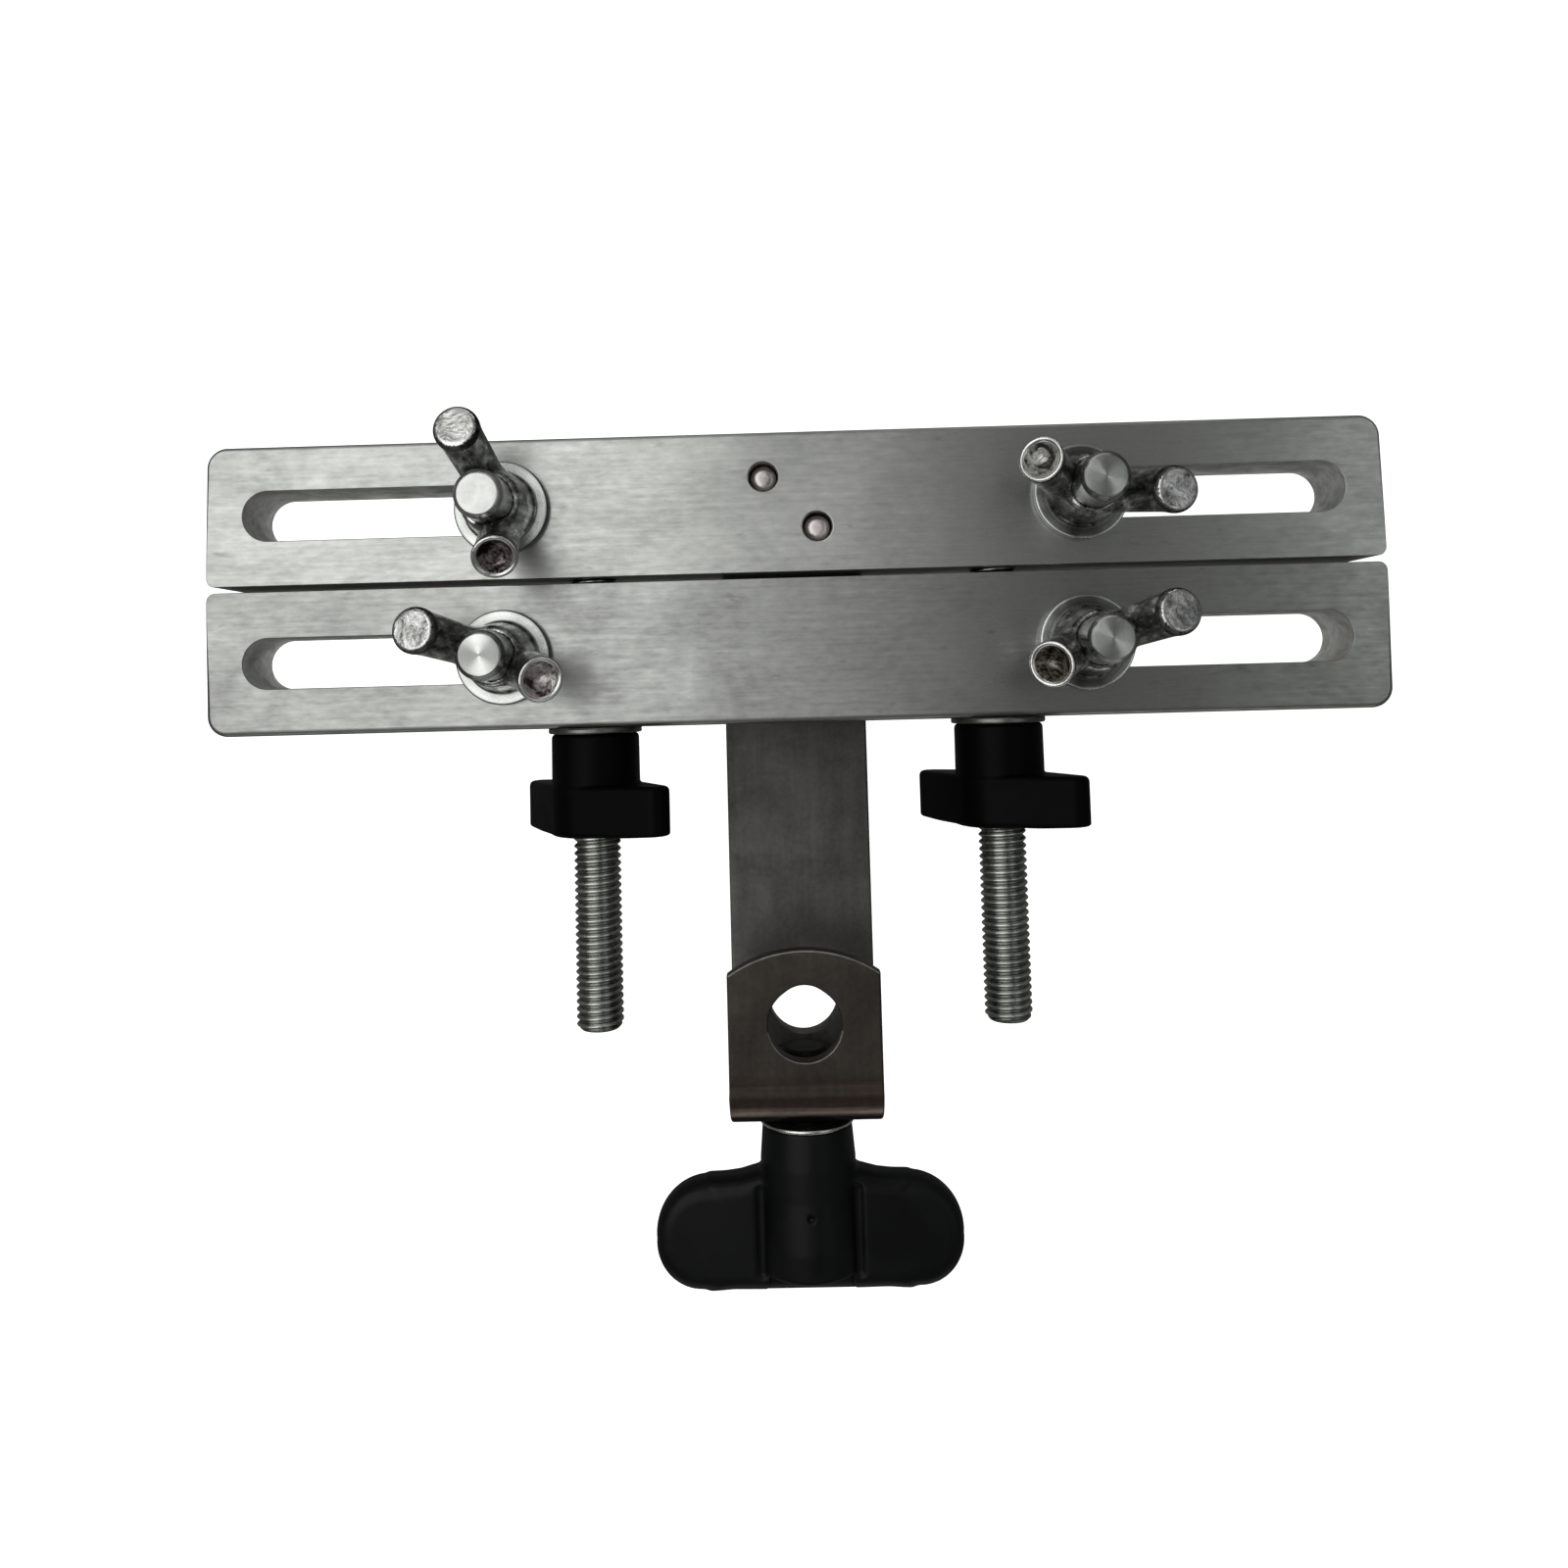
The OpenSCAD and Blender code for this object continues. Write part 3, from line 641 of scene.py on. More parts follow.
# bolt ends: the fan is a painted sheen; the right-hand copy is painted brighter
M_FAN = rings_with_painted_light("bolt_end_turned", [(0.0, 0.45), (0.08, 0.78), (0.86, 0.86), (0.95, 0.62), (1.0, 0.5)], 0.0, 0.0036, fan=0.50)
M_FANR = rings_with_painted_light("bolt_end_turned_right", [(0.0, 0.5), (0.08, 1.0), (0.86, 1.0), (0.95, 0.75), (1.0, 0.6)], 0.0, 0.0036, fan=0.60, fan_angle=112.0, patch=0.1)
M_END = zinc("bolt_end", (0.50, 0.51, 0.50), (0.76, 0.77, 0.75), 0.24, 0.38, grain=1100.0, bumpy=0.3)
# lighter copy of zinc plate: painted highlight on the clamp washer and the prong rims
M_ZINC_LIT = zinc("zinc_painted_highlight", (0.62, 0.63, 0.61), (0.90, 0.91, 0.88), 0.18, 0.30)
# darker copy of zinc plate: painted shade on the knob washers under the lower bar
M_ZINC_SHADED = zinc("zinc_painted_shade", (0.14, 0.14, 0.135), (0.28, 0.285, 0.275), 0.30, 0.42)
M_NUT = forged("zinc_forged")


def sheared_with_painted_light(name, dark, light, seed, edge0=0.40, edge1=0.60):
    """Rough end: torn patches between dark and bright, shifted by seed; the dark and bright colours given for each
    piece also paint its highlight and shade.
    """
    m = bpy.data.materials.new(name)
    nt, b = nodes_of(m)
    v = coords(nt)
    v.node.inputs["Location"].default_value = (seed, seed * 0.7, seed * 0.3)
    big = noise(nt, v, 300.0, 4.0, 0.65, 0.8)
    fine = noise(nt, v, 1600.0, 3.0, 0.6)
    tot = math_node(nt, "ADD", math_node(nt, "MULTIPLY", big, 0.75), math_node(nt, "MULTIPLY", fine, 0.25))
    nt.links.new(ramp(nt, tot, [(edge0, dark), (edge1, light)]), b.inputs["Base Color"])
    b.inputs["Metallic"].default_value = 1.0
    nt.links.new(ramp(nt, fine, [(0.3, 0.26), (0.7, 0.46)]), b.inputs["Roughness"])
    nt.links.new(bump(nt, fine, 0.5, 0.00015, bump(nt, big, 0.7, 0.0008)), b.inputs["Normal"])
    return m


# prong end faces, one per corner: the torn patches are the ends' own roughness, their per-corner brightness is painted
# highlight and painted shade
ENDS = {"upper_left": sheared_with_painted_light("sheared_end_a", (0.52, 0.53, 0.51), (0.98, 0.98, 0.96), 0.11),
        "upper_right": sheared_with_painted_light("sheared_end_b", (0.16, 0.16, 0.165), (0.95, 0.95, 0.94), 0.37),
        "lower_left": sheared_with_painted_light("sheared_end_c", (0.20, 0.20, 0.19), (0.95, 0.96, 0.94), 0.53),
        "lower_right": sheared_with_painted_light("sheared_end_d", (0.22, 0.22, 0.225), (0.80, 0.80, 0.79), 0.71)}
# cup floors, one per corner: the dark ground is painted shade in the hollow and the bright patches are painted
# highlight
CUPS = {"upper_left": sheared_with_painted_light("cup_floor_a", (0.035, 0.020, 0.022), (0.75, 0.70, 0.70), 0.21, 0.47, 0.66),
        "upper_right": sheared_with_painted_light("cup_floor_b", (0.06, 0.06, 0.055), (0.95, 0.94, 0.90), 0.47, 0.42, 0.60),
        "lower_left": sheared_with_painted_light("cup_floor_c", (0.09, 0.045, 0.05), (0.92, 0.90, 0.88), 0.63, 0.42, 0.60),
        "lower_right": sheared_with_painted_light("cup_floor_d", (0.03, 0.026, 0.018), (0.62, 0.58, 0.50), 0.81, 0.46, 0.66)}
# painted shade: a dark band round each prong end below its face and below its cup rim
M_RIM_SHADE = sheared_with_painted_light("prong_rim_painted_shade", (0.03, 0.031, 0.029), (0.20, 0.205, 0.195), 0.9)
M_ROD = thread_metal("zinc_thread", (0.48, 0.50, 0.46), (0.76, 0.78, 0.73))
M_STRAP = dark_steel("dark_strap", (0.048, 0.047, 0.045), (0.088, 0.086, 0.082), painted_bend_light=True)
M_DARK = dark_steel("dark_steel_plain", (0.03, 0.03, 0.029), (0.06, 0.059, 0.057))
# lighter copy of the strap steel, laid on chosen edges as painted highlight
M_EDGE_GLINT = dark_steel("painted_edge_highlight", (0.20, 0.195, 0.19), (0.45, 0.44, 0.43))
M_OILED = dark_steel("oiled_steel", (0.010, 0.0095, 0.009), (0.022, 0.021, 0.020))
M_BLACK = plastic("black_plastic", (0.0034, 0.0038, 0.0040), 0.36, 0.48, 0.20)
# darker, less glossy copy of the black plastic for the small knobs, as painted shade
M_BLACK_SHADED = plastic("black_plastic_small_painted_shade", (0.0012, 0.0013, 0.0014), 0.38, 0.50, 0.06)
M_BRASS = zinc("brass_insert", (0.45, 0.33, 0.14), (0.75, 0.58, 0.28), 0.25, 0.4)
M_TIP = zinc("screw_tip", (0.50, 0.46, 0.45), (0.82, 0.76, 0.75), 0.25, 0.40, grain=900.0, bumpy=0.4)

# ------------------------------------------------------------------ bars
def bar_loops(y0, y1, r_low, r_high, edge_low, edge_high, holes=()):
    h = BAR_L / 2
    out = []
    out += arc(h - r_low, y0 + r_low, r_low, -90, 0, 12)
    out += stretch((h, y0 + r_low), (h, y1 - r_high), 3)
    out += arc(h - r_high, y1 - r_high, r_high, 0, 90, 12)
    out += stretch((h - r_high, y1), (-h + r_high, y1), 6)
    out += arc(-h + r_high, y1 - r_high, r_high, 90, 180, 12)
    out += stretch((-h, y1 - r_high), (-h, y0 + r_low), 3)
    out += arc(-h + r_low, y0 + r_low, r_low, 180, 270, 12)
    out += stretch((-h + r_low, y0), (h - r_low, y0), 6)
    mid = (y0 + y1) / 2
    def edge(x, y):
        f = min(1.0, max(0.0, (y - y0) / (y1 - y0)))
        return edge_low + (edge_high - edge_low) * f * f * (3 - 2 * f)
    loops = [(out, edge, 0.1)]
    for s in (-1, 1):
        a, b = sorted((s * SLOT_IN, s * SLOT_OUT))
        pts = arc(b, mid, SLOT_R, 90, -90, 32) + stretch((b, mid - SLOT_R), (a, mid - SLOT_R), 4)
        pts += arc(a, mid, SLOT_R, 270, 90, 32) + stretch((a, mid + SLOT_R), (b, mid + SLOT_R), 4)
        loops.append((pts, 0.18, 0.18))
    for x, y, r in holes:
        loops.append((arc(x, y, r, 360, 0, 48), 0.25, 0.05))
    return loops


def rod_cutter(x, ya, yb, r):
    """Cylinder along Y from ya to yb."""
    v, f = lathe([(0, 0), (r, 0), (r, abs(ya - yb)), (0, abs(ya - yb))], 48)
    m = down(x, max(ya, yb), ROD_Z)
    return [tuple(m @ Vector(p)) for p in v], f


v, f = plate(bar_loops(FIX_Y0, FIX_Y1, 1.5, 3.5, 0.15, 0.7, [(-4.5, FIX_MID + 4.35, 2.52), (4.5, FIX_MID - 4.35, 2.52)]), -BAR_T, 0, 5)
upper_bar = make("fixed_bar", v, f, "frame_bar", ["upper_bar"], M_BAR, sharp=30)
for s in (-1, 1):
    cut(upper_bar, *rod_cutter(s * ROD_X, FIX_Y0 - 1, ROD_TOP + 0.4, 4.03))
v, f = plate(bar_loops(LOW_Y0, LOW_Y1, 3.5, 1.5, 1.0, 0.15), -BAR_T + 0.2, 0, 5)
lower_bar = make("sliding_bar", v, f, "lower_jaw", ["lower_bar"], M_BAR_SHADED, sharp=30)
for s in (-1, 1):
    cut(lower_bar, *rod_cutter(s * ROD_X, LOW_Y0 - 1, LOW_Y1 + 1, 4.1))
for o, mid in ((upper_bar, FIX_MID), (lower_bar, LOW_MID)):
    paint(o, [M_SLOT], lambda c, n: int(abs(n.z) < 0.4 and SLOT_IN - 4.6 < abs(c.x) < SLOT_OUT + 4.6 and abs(c.y - mid) < 4.6))
even(upper_bar, lower_bar)

# ------------------------------------------------------------------ strap, cut flat and then bent
NEUTRAL = BEND_R + 1.5                                    # bend radius at mid thickness
ARC = NEUTRAL * math.pi / 2
FLAT_B = (LEG_Z1 - LEG_Z0) - 2 * BEND_R          # flat length of the bend's bottom
S0 = 0.0                                         # rear leg's end at the bend
S1 = ARC
S2 = S1 + FLAT_B
S3 = S2 + ARC                                    # front leg starts
Y_TAN = -BEND_Y + BEND_R + 3.0                   # tangent height of both bends
REAR_TOP = 97.0


def bend(p):
    """Flat pattern (x, s, t): s runs down the rear leg, round the bend and up the front leg; t is +1.5 outside, -1.5 inside."""
    x, s, t = p
    if s <= S0:
        return (x, Y_TAN - s, LEG_Z0 - 1.5 - t)
    if s < S1:
        a = (s - S0) / NEUTRAL
        r = NEUTRAL + t
        return (x, Y_TAN - r * math.sin(a), LEG_Z0 + BEND_R - r * math.cos(a))
    if s <= S2:
        return (x, -BEND_Y + 1.5 - t, LEG_Z0 + BEND_R + (s - S1))
    if s < S3:
        a = (s - S2) / NEUTRAL
        r = NEUTRAL + t
        return (x, Y_TAN - r * math.cos(a), LEG_Z1 - BEND_R + r * math.sin(a))
    return (x, Y_TAN + (s - S3), LEG_Z1 + 1.5 + t)


def bore_loop(s_of_y):
    """Round bore with a rounded notch towards +Y, clockwise in (x, y)."""
    b, R, q = 36.0, 6.0, 4.8
    cy = (R - q) / math.cos(math.radians(b))
    pts = arc(0, 0, R, 90 - b, -270 + b, 72) + arc(0, cy, q, 90 + b, 90 - b, 20)
    return [(x, s_of_y(y)) for x, y in pts]


def front_s(y):
    return S3 + (y - Y_TAN)


def rear_s(y):
    return Y_TAN - y


w = STRAP_W / 2
arch_c, arch_r = 11.9 - 22.0, 22.0
y_side = arch_c + math.sqrt(arch_r ** 2 - w ** 2)
a_side = math.degrees(math.atan2(y_side - arch_c, w))
outline = stretch((w, rear_s(REAR_TOP)), (w, front_s(y_side)), 1.0)
outline = [(w, rear_s(REAR_TOP) + 0.8)] + [p for p in outline if p[1] > rear_s(REAR_TOP) + 1]
outline += [(x, front_s(y)) for x, y in arc(0, arch_c, arch_r, a_side, 180 - a_side, 40)]
outline += [p for p in stretch((-w, front_s(y_side)), (-w, rear_s(REAR_TOP)), 1.0) if p[1] > rear_s(REAR_TOP) + 1]
outline += [(-w, rear_s(REAR_TOP) + 0.8)] + arc(-w + 0.8, rear_s(REAR_TOP) + 0.8, 0.8, 180, 270, 4)
outline += stretch((-w + 0.8, rear_s(REAR_TOP)), (w - 0.8, rear_s(REAR_TOP)), 2.0) + arc(w - 0.8, rear_s(REAR_TOP) + 0.8, 0.8, 270, 360, 4)
rear_bore = [(x, s) for x, s in bore_loop(rear_s)][::-1]
loops = [(outline, 0.45, 0.45), (bore_loop(front_s), 0.3, 0.3), (rear_bore, 0.3, 0.3)]
v, f = plate(loops, -1.5, 1.5, 4)
me = bpy.data.meshes.new("strap_flat")
me.from_pydata(v, [], f)
bm = bmesh.new()
bm.from_mesh(me)
bmesh.ops.remove_doubles(bm, verts=bm.verts, dist=1e-5)
cuts = [S0 + ARC * k / 10 for k in range(11)] + [S2 + ARC * k / 10 for k in range(11)]
for sc in cuts:
    bmesh.ops.bisect_plane(bm, geom=bm.verts[:] + bm.edges[:] + bm.faces[:], dist=1e-5, plane_co=(0, sc, 0), plane_no=(0, 1, 0))
for vert in bm.verts:
    x, s, t = vert.co
    # the outside of each bend is drawn in and its inside swells a little
    k = 0.0
    for c in ((S0 + S1) / 2, (S2 + S3) / 2):
        k += math.exp(-((s - c) / 3.6) ** 2)
    x += math.copysign(min(1.0, abs(x) / w) ** 6, x) * k * (0.16 - 0.10 * t)
    vert.co = Vector(bend((x, s, t))) * MM
bmesh.ops.triangulate(bm, faces=[q for q in bm.faces if len(q.verts) > 4])
bmesh.ops.recalc_face_normals(bm, faces=bm.faces)
bm.to_mesh(me)
bm.free()
strap = place(me, "bent_strap", "frame_bar", ["support_strap"], M_STRAP, sharp=28)
cv, cf = lathe([(0, 0), (4.35, 0), (4.35, 6), (0, 6)], 64)
cm = down(0, -BEND_Y + 4, CLAMP_Z)
cut(strap, [tuple(cm @ Vector(q)) for q in cv], cf)
# painted highlight on the front leg's arch edge and on the lower edge of its bore
paint(strap, [M_EDGE_GLINT], lambda c, n: int(c.z > 4.45 and 0.3 < n.z < 0.97 and ((c.y > 6.0 and n.y > 0.25) or (abs(c.x) < 7 and -8.0 < c.y < -1.2))))
even(strap)

# ------------------------------------------------------------------ threads
def threaded(length, r=4.0, pitch=1.25, depth=0.5, segs=56, cham=0.8, plain_end=None, seed=0.0):
    """Right-handed thread along Z from 0 to length, chamfered at both ends."""
    prof = [(0.0, 0.0), (0.10, 0.0), (0.20, 0.45), (0.42, 1.0), (0.56, 1.0), (0.78, 0.45), (0.88, 0.0)]
    n = int(math.ceil(length / pitch)) + 2
    K = len(prof)
    verts, faces = [], []

    def rad(z, h):
        rr = r - depth * (1 - h)
        lim = min(r - cham + z * 1.0, r - cham + (length - z) * 1.0)
        return max(0.2, min(rr, lim))

    for i in range(segs):
        a = 2 * math.pi * i / segs
        for j in range(n * K):
            t, (dz, h) = j // K, prof[j % K]
            z = pitch * (t - 1 + i / segs + dz)
            zc = min(max(z, 0.0), length)
            q = rad(zc, h)
            verts.append((q * math.cos(a), q * math.sin(a), zc))
    M = n * K
    for i in range(segs):
        for j in range(M - 1):
            if i < segs - 1:
                faces.append((i * M + j, (i + 1) * M + j, (i + 1) * M + j + 1, i * M + j + 1))
            elif j + K + 1 < M:
                faces.append((i * M + j, j + K, j + K + 1, i * M + j + 1))
    return verts, faces


def close_thread(name, verts, faces, body, nodes, mat, matrix, extra=None):
    me = bpy.data.meshes.new(name)
    me.from_pydata([tuple(c * MM for c in p) for p in verts], [], faces)
    bm = bmesh.new()
    bm.from_mesh(me)
    bmesh.ops.remove_doubles(bm, verts=bm.verts, dist=2e-6)
    bmesh.ops.dissolve_degenerate(bm, dist=2e-6, edges=bm.edges)
    zs = [p.co.z for p in bm.verts]
    z0, z1 = min(zs), max(zs)
    flat = [q for q in bm.faces if all(abs(p.co.z - z0) < 1e-7 for p in q.verts) or all(abs(p.co.z - z1) < 1e-7 for p in q.verts)]
    bmesh.ops.delete(bm, geom=flat, context="FACES")
    loose = [e for e in bm.edges if not e.link_faces]
    bmesh.ops.delete(bm, geom=loose, context="EDGES")
    bmesh.ops.holes_fill(bm, edges=[e for e in bm.edges if e.is_boundary], sides=0)
    if extra:
        ev, ef = extra
        new = [bm.verts.new(tuple(c * MM for c in p)) for p in ev]
        for q in ef:
            bm.faces.new([new[i] for i in q])
    bmesh.ops.recalc_face_normals(bm, faces=bm.faces)
    bm.to_mesh(me)
    bm.free()
    return place(me, name, body, nodes, mat, matrix, sharp=40)


for side, x in (("left", -ROD_X), ("right", ROD_X)):
    v, f = threaded(ROD_TOP - ROD_END)
    close_thread(side + "_rod", v, f, "frame_bar", [side + "_threaded_rod"], M_ROD, down(x, ROD_TOP, ROD_Z, 40 if side == "left" else 115))

# clamp screw, with the hexagon head that sits in the knob
L = KNOB_Y * -1 - 6.2
hexr = 13 / 2 / math.cos(math.radians(30))
hv = [(hexr * math.cos(math.radians(60 * k)), hexr * math.sin(math.radians(60 * k)), z) for z in (L + 14, L + 19.28) for k in range(6)]
hf = [tuple(range(6))[::-1], tuple(range(6, 12))] + [(k, (k + 1) % 6, 6 + (k + 1) % 6, 6 + k) for k in range(6)]
v, f = threaded(L + 14.0)
close_thread("clamp_screw_thread", v, f, "rod_clamp_knob", ["clamp_screw"], M_OILED, down(0, -6.2, CLAMP_Z, 10), extra=(hv, hf))

# ------------------------------------------------------------------ washers and bolts
def washer(name, node, body, matrix, bore, t, mat=M_ZINC, od=16.0):
    R = od / 2
    prof = rounded([(bore, 0), (R, 0), (R, t), (bore, t)], [0.1, 0.3, 0.3, 0.1], 4)
    v, f = lathe(prof, 112)
    o = make(name, v, f, body, [node], mat, matrix)
    even(o)
    return o


for side, x in (("left", -ROD_X), ("right", ROD_X)):
    washer(side + "_thin_washer", side + "_knob_washer", "lower_jaw", down(x, LOW_Y0, ROD_Z), 4.3, 1.0, M_ZINC_SHADED)
washer("clamp_thin_washer", "clamp_washer", "rod_clamp_washer", down(0, -BEND_Y - 0.2, CLAMP_Z), 4.05, 0.7, M_ZINC_LIT)

CORNERS = [("upper_left", -BOLT_X, FIX_MID, 106.0, -12.0), ("upper_right", BOLT_X, FIX_MID, -14.4, -12.0),
           ("lower_left", -BOLT_X, LOW_MID, 157.4, -11.8), ("lower_right", BOLT_X, LOW_MID, 21.0, -11.8)]
for nm, x, y, a, back in CORNERS:
    washer(nm + "_flat_washer", nm + "_washer", nm + "_washer_body", up(x, y, 0.05), 4.05, 1.6, M_WASHL if x < 0 else M_WASHR)
    zb = back - 0.05
    prof = [(0, zb - 4.4), (1.5, zb - 4.36), (3.0, zb - 4.22), (4.5, zb - 3.9), (6.0, zb - 3.32), (7.2, zb - 2.62), (8.1, zb - 1.8), (8.7, zb - 1.05),
            (8.98, zb - 0.6), (8.98, zb - 0.15), (8.85, zb), (0, zb)]
    hv, hf = lathe(prof, 96)
    prof = [(0, zb), (3.98, zb), (3.98, 16.15), (3.93, 16.35), (3.42, 16.86), (3.28, 16.97), (3.1, 17.0), (2.2, 17.0), (1.1, 17.0), (0, 17.0)]
    sv, sf = lathe(prof, 96)
    n0 = len(hv)
    verts, faces = hv + sv, hf + [tuple(i + n0 for i in q) for q in sf]
    c = 3.96
    n1 = len(verts)
    verts += [(sx * c, sy * c, z) for z in (zb - 0.01, zb + 5.0) for sx, sy in ((-1, -1), (1, -1), (1, 1), (-1, 1))]
    faces += [(n1 + 3, n1 + 2, n1 + 1, n1), (n1 + 4, n1 + 5, n1 + 6, n1 + 7)] + [(n1 + k, n1 + (k + 1) % 4, n1 + 4 + (k + 1) % 4, n1 + 4 + k) for k in range(4)]
    o = make(nm + "_slot_bolt", verts, faces, nm + "_bolt_body", [nm + "_bolt"], M_TURN, up(x, y, 0.0))
    paint(o, [M_END if nm == "upper_left" else M_FAN if x < 0 else M_FANR], lambda c, n: int(c.z > 16.1))
    even(o)

# strap screws: button heads behind the strap, chamfered ends inside the fixed bar
sv, sf = [], []
for sg in (-1, 1):
    prof = [(0, -1.8), (0.7, -1.8), (1.2, -1.85), (1.6, -1.97), (1.9, -2.16), (2.15, -2.45), (2.32, -2.85), (2.40, -3.3), (2.5, -3.5), (2.5, -15.0), (4.5, -15.0), (4.72, -15.12), (4.72, -15.4),
            (4.5, -16.1), (3.95, -16.85), (3.1, -17.4), (2.1, -17.6)]
    hx = 1.73 / math.cos(math.radians(30))
    pv, pf = lathe(prof, 60)
    n0 = len(pv)
    ring = [n0 - 60 + i for i in range(60)]
    hexa = [(hx * math.cos(math.radians(60 * k)), hx * math.sin(math.radians(60 * k))) for k in range(6)]
    pv += [(hxx, hyy, -17.6) for hxx, hyy in hexa] + [(hxx, hyy, -15.8) for hxx, hyy in hexa]
    for k in range(6):
        seg = [ring[(10 * k + i) % 60] for i in range(11)]
        pf += [(n0 + k, seg[i], seg[i + 1]) for i in range(10)]
        pf.append((n0 + k, seg[10], n0 + (k + 1) % 6))
        pf.append((n0 + k, n0 + (k + 1) % 6, n0 + 6 + (k + 1) % 6, n0 + 6 + k))
    pf.append(tuple(n0 + 6 + k for k in range(6)))
    base = len(sv)
    sv += [(px + sg * 4.5, py + FIX_MID - sg * 4.35, pz) for px, py, pz in pv]
    sf += [tuple(i + base for i in q) for q in pf]
o = make("button_head_screws", sv, sf, "frame_bar", ["strap_screws"], M_ZINC)
# the tip domes get the screw-tip colour; the band just below them is painted dark as painted shade in the holes
paint(o, [M_TIP, M_DARK], lambda c, n: 1 if c.z > -3.0 else (2 if c.z > -4.0 else 0))
even(o)

# ------------------------------------------------------------------ wing nuts
CUT_N = np.array([math.sin(math.radians(12)), 0.0, math.cos(math.radians(12))])
TIP = np.array([10.7, 0.0, 16.4])


def nut_field(p):
    x, y, z = p[:, 0], p[:, 1], p[:, 2]
    r = np.hypot(x, y)
    hub = smax((r - (5.95 - 0.13 * z)) * 0.99, np.abs(z - 4.0) - 4.0, 1.1)
    flange = smax(r - 6.15, np.abs(z - 0.5) - 0.5, 0.35)
    d = smin(hub, flange, 0.5)
    for s in (1, -1):
        o = np.array([s * 3.24, 0.0, 2.4])
        a = TIP * np.array([s, 1, 1]) - o
        L = np.linalg.norm(a)
        a = a / L
        q = p - o
        t = q @ a
        perp = q - t[:, None] * a
        side = perp[:, 1]
        rad = np.sqrt(np.maximum((perp ** 2).sum(-1) - side ** 2, 0))
        rho = np.sqrt((rad / 0.98) ** 2 + (side / 1.03) ** 2)
        R = 3.1 + 0.022 * np.minimum(t, L) + (0.24 if s > 0 else 0.14) / (1 + np.exp(-(np.minimum(t, L) - L + 1.6) * 2.2))
        body = np.where(t < 0, np.sqrt(rho ** 2 + t ** 2) - R, rho - R) * 0.97
        if s > 0:
            body = smax(body, (p - TIP) @ CUT_N - 0.35, 1.25)
        else:
            body = smax(body, t - L, 0.4)
            cup = (t - (L - 2.3 * (1 - (rho / 2.95) ** 2))) * 0.7
            body = smax(body, -np.minimum(-cup, 9.0), 0.3)
        d = smin(d, body, 1.6)
    d = smax(d, -(r - 4.06), 0.12)
    return smax(d, -z, 0.1)


def nut_part(c, n):
    c = np.array(c)
    below = (c - TIP) @ CUT_N
    # prong end: the flat face takes the corner's end colours, the rounded rim a painted highlight, and the band below a
    # painted shade
    if c[0] > 6 and below > -0.95:
        up_n = np.array(n) @ CUT_N
        return 1 if up_n > 0.975 else 4 if up_n > 0.86 else 3
    # cup: the floor takes the corner's cup colours, its rim a painted highlight, and the band below a painted shade
    a = TIP * np.array([-1, 1, 1]) - np.array([-3.24, 0, 2.4])
    a = a / np.linalg.norm(a)
    q = c - TIP * np.array([-1, 1, 1])
    t = q @ a
    if t < -0.35 and t > -3.2 and np.linalg.norm(q - t * a) < 2.85 and np.array(n) @ a > 0.3:
        return 2
    if -0.4 < t and c[0] < -6 and np.array(n) @ a > 0.35:
        return 4
    if -1.3 < t and c[0] < -6:
        return 3
    return 0


nv, nf = net(nut_field, (-15, -8, -0.8), (15.5, 8, 19), 0.22)
for nm, x, y, a, back in CORNERS:
    o = make(nm + "_forged_nut", nv, nf, nm + "_nut_body", [nm + "_wing_nut"], M_NUT, up(x, y, 1.7), sharp=60)
    paint(o, [ENDS[nm], CUPS[nm], M_RIM_SHADE, M_ZINC_LIT], nut_part)
    settle(o, a)

# ------------------------------------------------------------------ small wing knobs
def taper(ax, y, r1, r2, h):
    """Distance to two circles, r1 at 0 and r2 at h along x, and their common tangents."""
    b = (r1 - r2) / h
    a = math.sqrt(1 - b * b)
    px = np.abs(y)
    k = -b * px + a * ax
    return np.where(k < 0, np.hypot(px, ax) - r1, np.where(k > a * h, np.hypot(px, ax - h) - r2, a * px + b * ax - r1))


def sk_field(p):
    x, y, z = p[:, 0], p[:, 1], p[:, 2]
    r = np.hypot(x, y)
    hub = smax(r - (7.5 + 0.006 * z), np.abs(z - 8.65) - 8.65, 0.9)
    ax = np.abs(x)
    wing = smax(taper(ax, y, 7.9, 2.6, 14.35), np.abs(z - 12.95) - 4.35, 1.1)
    wing = smax(wing, (z - 17.3) + 0.07 * np.maximum(ax - 10, 0), 0.6)
    d = smin(hub, wing, 0.35)
    bore = np.where(z < 12.0, 5.55, 4.4)
    return smax(d, -(r - bore), 0.25)


kv, kf = net(sk_field, (-18.5, -9, -1), (18.5, 9, 18.5), 0.24)
for side, x, a in (("left", -ROD_X, 40.2), ("right", ROD_X, 45.3)):
    settle(make(side + "_wing_knob", kv, kf, side + "_knob", [side + "_clamp_knob"], M_BLACK_SHADED, down(x, SK_Y, ROD_Z), sharp=60), a)

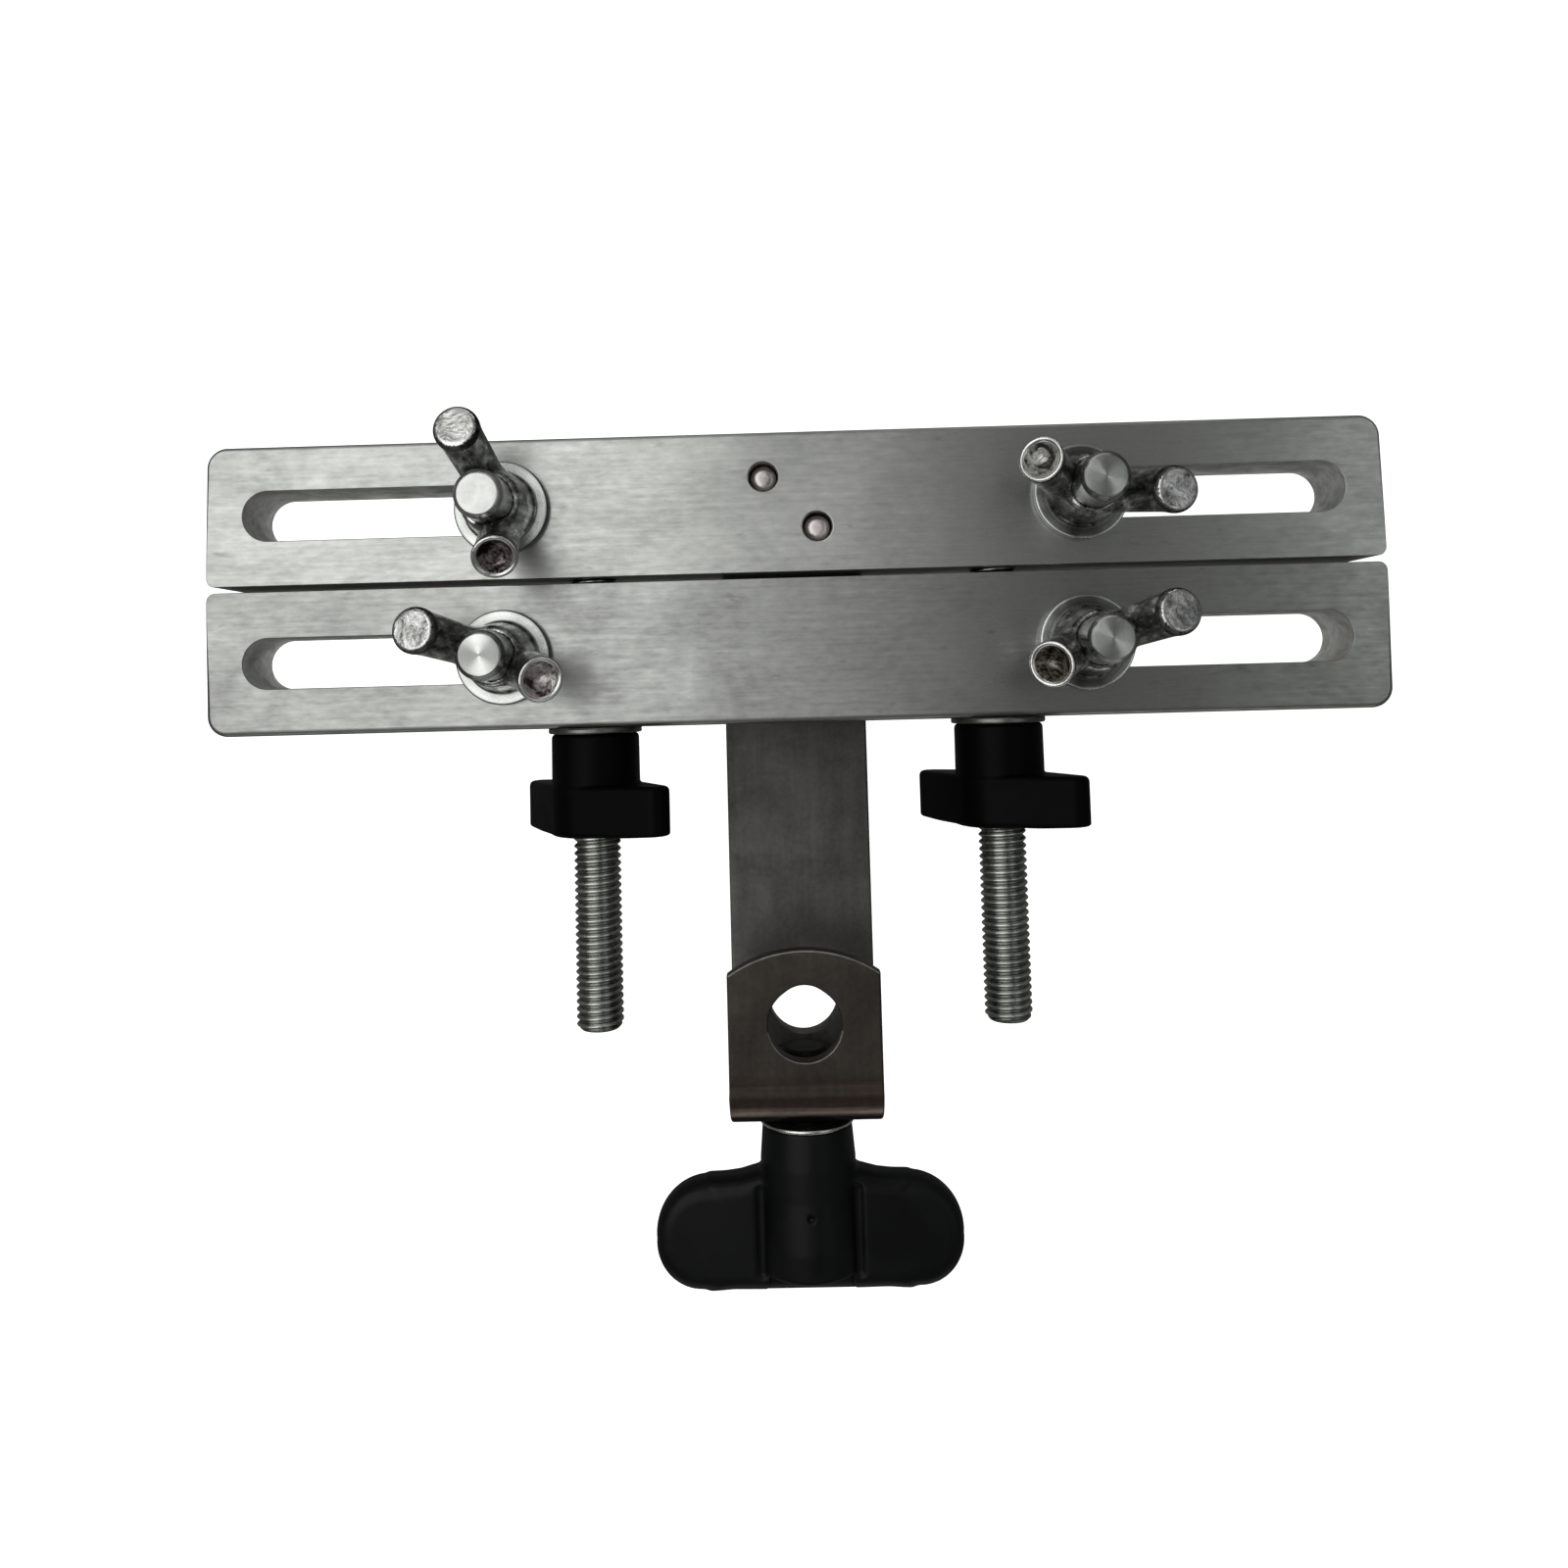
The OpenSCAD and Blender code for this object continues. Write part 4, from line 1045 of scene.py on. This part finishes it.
# ------------------------------------------------------------------ clamp knob
def ck_field(p):
    x, y, z = p[:, 0], p[:, 1], p[:, 2]
    r = np.hypot(x, y)
    R = 7.5 + 0.5 * np.clip(z / 6.0, 0, 1) + 0.5 * np.clip((z - 11.0) / 8.0, 0, 1)
    hub = smax(r - R, np.abs(z - 11.75) - 11.75, 0.6)
    ax = np.abs(x)
    lobe = np.minimum(np.hypot(ax - 16.75, z - 18.1) - 9.0, np.hypot(ax - 18.25, z - 19.5) - 7.5)
    top = (np.interp(ax, [0, 7, 11.5, 16.75, 30], [6.3, 7.3, 8.5, 9.12, 9.3]) - z) * 0.97
    web = smax(smax(top, z - 27.05, 0.6), ax - 17.0, 0.6)
    plan = smin(lobe, web, 1.0)
    half = 3.7 - 0.03 * np.maximum(ax - 8, 0)
    wing = smax(plan, np.abs(y) - half, 3.0)
    d = smin(hub, wing, 0.9)
    groove = np.sqrt((ax - 8.1) ** 2 + (np.abs(y) - 4.05) ** 2 + (z - np.clip(z, 10.4, 23.7)) ** 2) - 0.9
    d = smax(d, -groove, 0.5)
    dim = np.sqrt((x - 0.2) ** 2 + ((z - 13.2)) ** 2 + (y - 8.25) ** 2) - 0.62
    d = smax(d, -dim, 0.2)
    d = smax(d, -np.maximum(r - 4.02, z - 15), 0.2)
    hexa = np.maximum(np.abs(y), np.maximum(np.abs(0.5 * y + 0.8660254 * x), np.abs(0.5 * y - 0.8660254 * x))) - 6.6
    d = smax(d, -np.maximum(hexa, 14.0 - z), 0.2)
    return smax(d, -np.maximum(r - 7.63, 19.4 - z), 0.2)


v, f = net(ck_field, (-27, -10, -1), (27, 10, 28), 0.27)
make("clamp_wing_knob", v, f, "rod_clamp_knob", ["clamp_knob"], M_BLACK, down(0, KNOB_Y, CLAMP_Z), sharp=60)

def cap_field(p):
    x, y, z = p[:, 0], p[:, 1], p[:, 2]
    r = np.hypot(x, y)
    body = smax(r - 7.58, z - 23.3, 0.6)
    rib = smax(smax(z - 27.0, np.abs(y) - 3.6, 3.0), r - 7.58, 0.15)
    return smax(smin(body, rib, 0.7), 19.42 - z, 0.15)


v, f = net(cap_field, (-8.2, -8.2, 19), (8.2, 8.2, 28), 0.22)
make("clamp_pocket_cap", v, f, "rod_clamp_knob", ["clamp_screw_cap"], M_BLACK, down(0, KNOB_Y, CLAMP_Z), sharp=60)

# ------------------------------------------------------------------ carried-over CAD nodes
for node, mat in (("clamp_nut", M_DARK), ("left_knob_insert", M_BRASS), ("right_knob_insert", M_BRASS)):
    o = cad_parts[node]
    if not o.material_slots:
        o.data.materials.append(mat)
    for s in o.material_slots:
        s.material = mat

# ------------------------------------------------------------------ floor, light, camera
bm = bmesh.new()
bmesh.ops.create_grid(bm, x_segments=8, y_segments=8, size=3.0)
me = bpy.data.meshes.new("floor")
bm.to_mesh(me)
bm.free()
floor = bpy.data.objects.new("floor", me)
scene.collection.objects.link(floor)
floor.location = (0, 0, -0.16)
m = bpy.data.materials.new("floor_paper")
nt, b = nodes_of(m)
nt.links.new(ramp(nt, noise(nt, coords(nt), 3.0, 2.0), [(0.3, (0.93, 0.93, 0.93)), (0.7, (0.95, 0.95, 0.95))]), b.inputs["Base Color"])
b.inputs["Roughness"].default_value = 0.9
b.inputs["Specular IOR Level"].default_value = 0.1
b.inputs["Emission Color"].default_value = (1, 1, 1, 1)
b.inputs["Emission Strength"].default_value = 0.95
me.materials.append(m)
floor.visible_glossy = False


def area(name, loc, target, size, power, color=(1, 1, 1)):
    d = bpy.data.lights.new(name, "AREA")
    d.shape, d.size, d.size_y = "RECTANGLE", size[0], size[1]
    d.energy, d.color = power, color
    o = bpy.data.objects.new(name, d)
    o.location = loc
    o.rotation_euler = (Vector(target) - Vector(loc)).to_track_quat("-Z", "Y").to_euler()
    scene.collection.objects.link(o)
    return o


area("key", (-0.40, 0.15, 0.60), (-0.40, 0.15, 0.0), (0.66, 0.80), 2.2, (1.0, 1.0, 0.985))
area("middle", (0.01, 0.15, 0.60), (0.01, 0.15, 0.0), (0.16, 0.80), 0.20, (1.0, 1.0, 0.99))
area("side", (0.50, 0.10, 0.55), (0.50, 0.10, 0.0), (0.36, 0.80), 0.42, (0.96, 1.0, 1.0))
area("top", (0.0, 0.85, 0.35), (0.0, 0.05, 0.0), (0.9, 0.25), 0.5)
area("low_front", (0.0, -0.75, 0.02), (0.0, 0.04, -0.005), (1.1, 0.26), 0.55)

w = bpy.data.worlds.new("studio")
scene.world = w
w.use_nodes = True
bg = w.node_tree.nodes["Background"]
bg.inputs["Color"].default_value = (1.0, 0.98, 0.96, 1)
bg.inputs["Strength"].default_value = 0.10

R = ((0.9995182028821741, -0.026357180330807577, -0.01639088625420094),
     (-0.02725829015775301, -0.9979775005036998, -0.05742729408620385),
     (-0.014844114148867512, 0.05784641331488832, -0.9982151294894995))
cd = bpy.data.cameras.new("camera")
cam = bpy.data.objects.new("camera", cd)
scene.collection.objects.link(cam)
X, Y, Z = Vector(R[0]), -Vector(R[1]), -Vector(R[2])
cam.matrix_world = Matrix(((X.x, Y.x, Z.x, -1.51645 * MM), (X.y, Y.y, Z.y, 54.83882 * MM), (X.z, Y.z, Z.z, 198.30294 * MM), (0, 0, 0, 1)))
cd.sensor_width = 36.0
cd.lens = 36.0 * 1200.167 / 1600.0
cd.shift_x = (800 - 782.62) / 1600.0
cd.shift_y = (630.075 - 800) / 1600.0
cd.clip_start, cd.clip_end = 0.01, 20.0
scene.camera = cam
scene.view_settings.view_transform = "Standard"
scene.view_settings.look = "None"
scene.view_settings.exposure = 0.0
scene.view_settings.gamma = 1.0
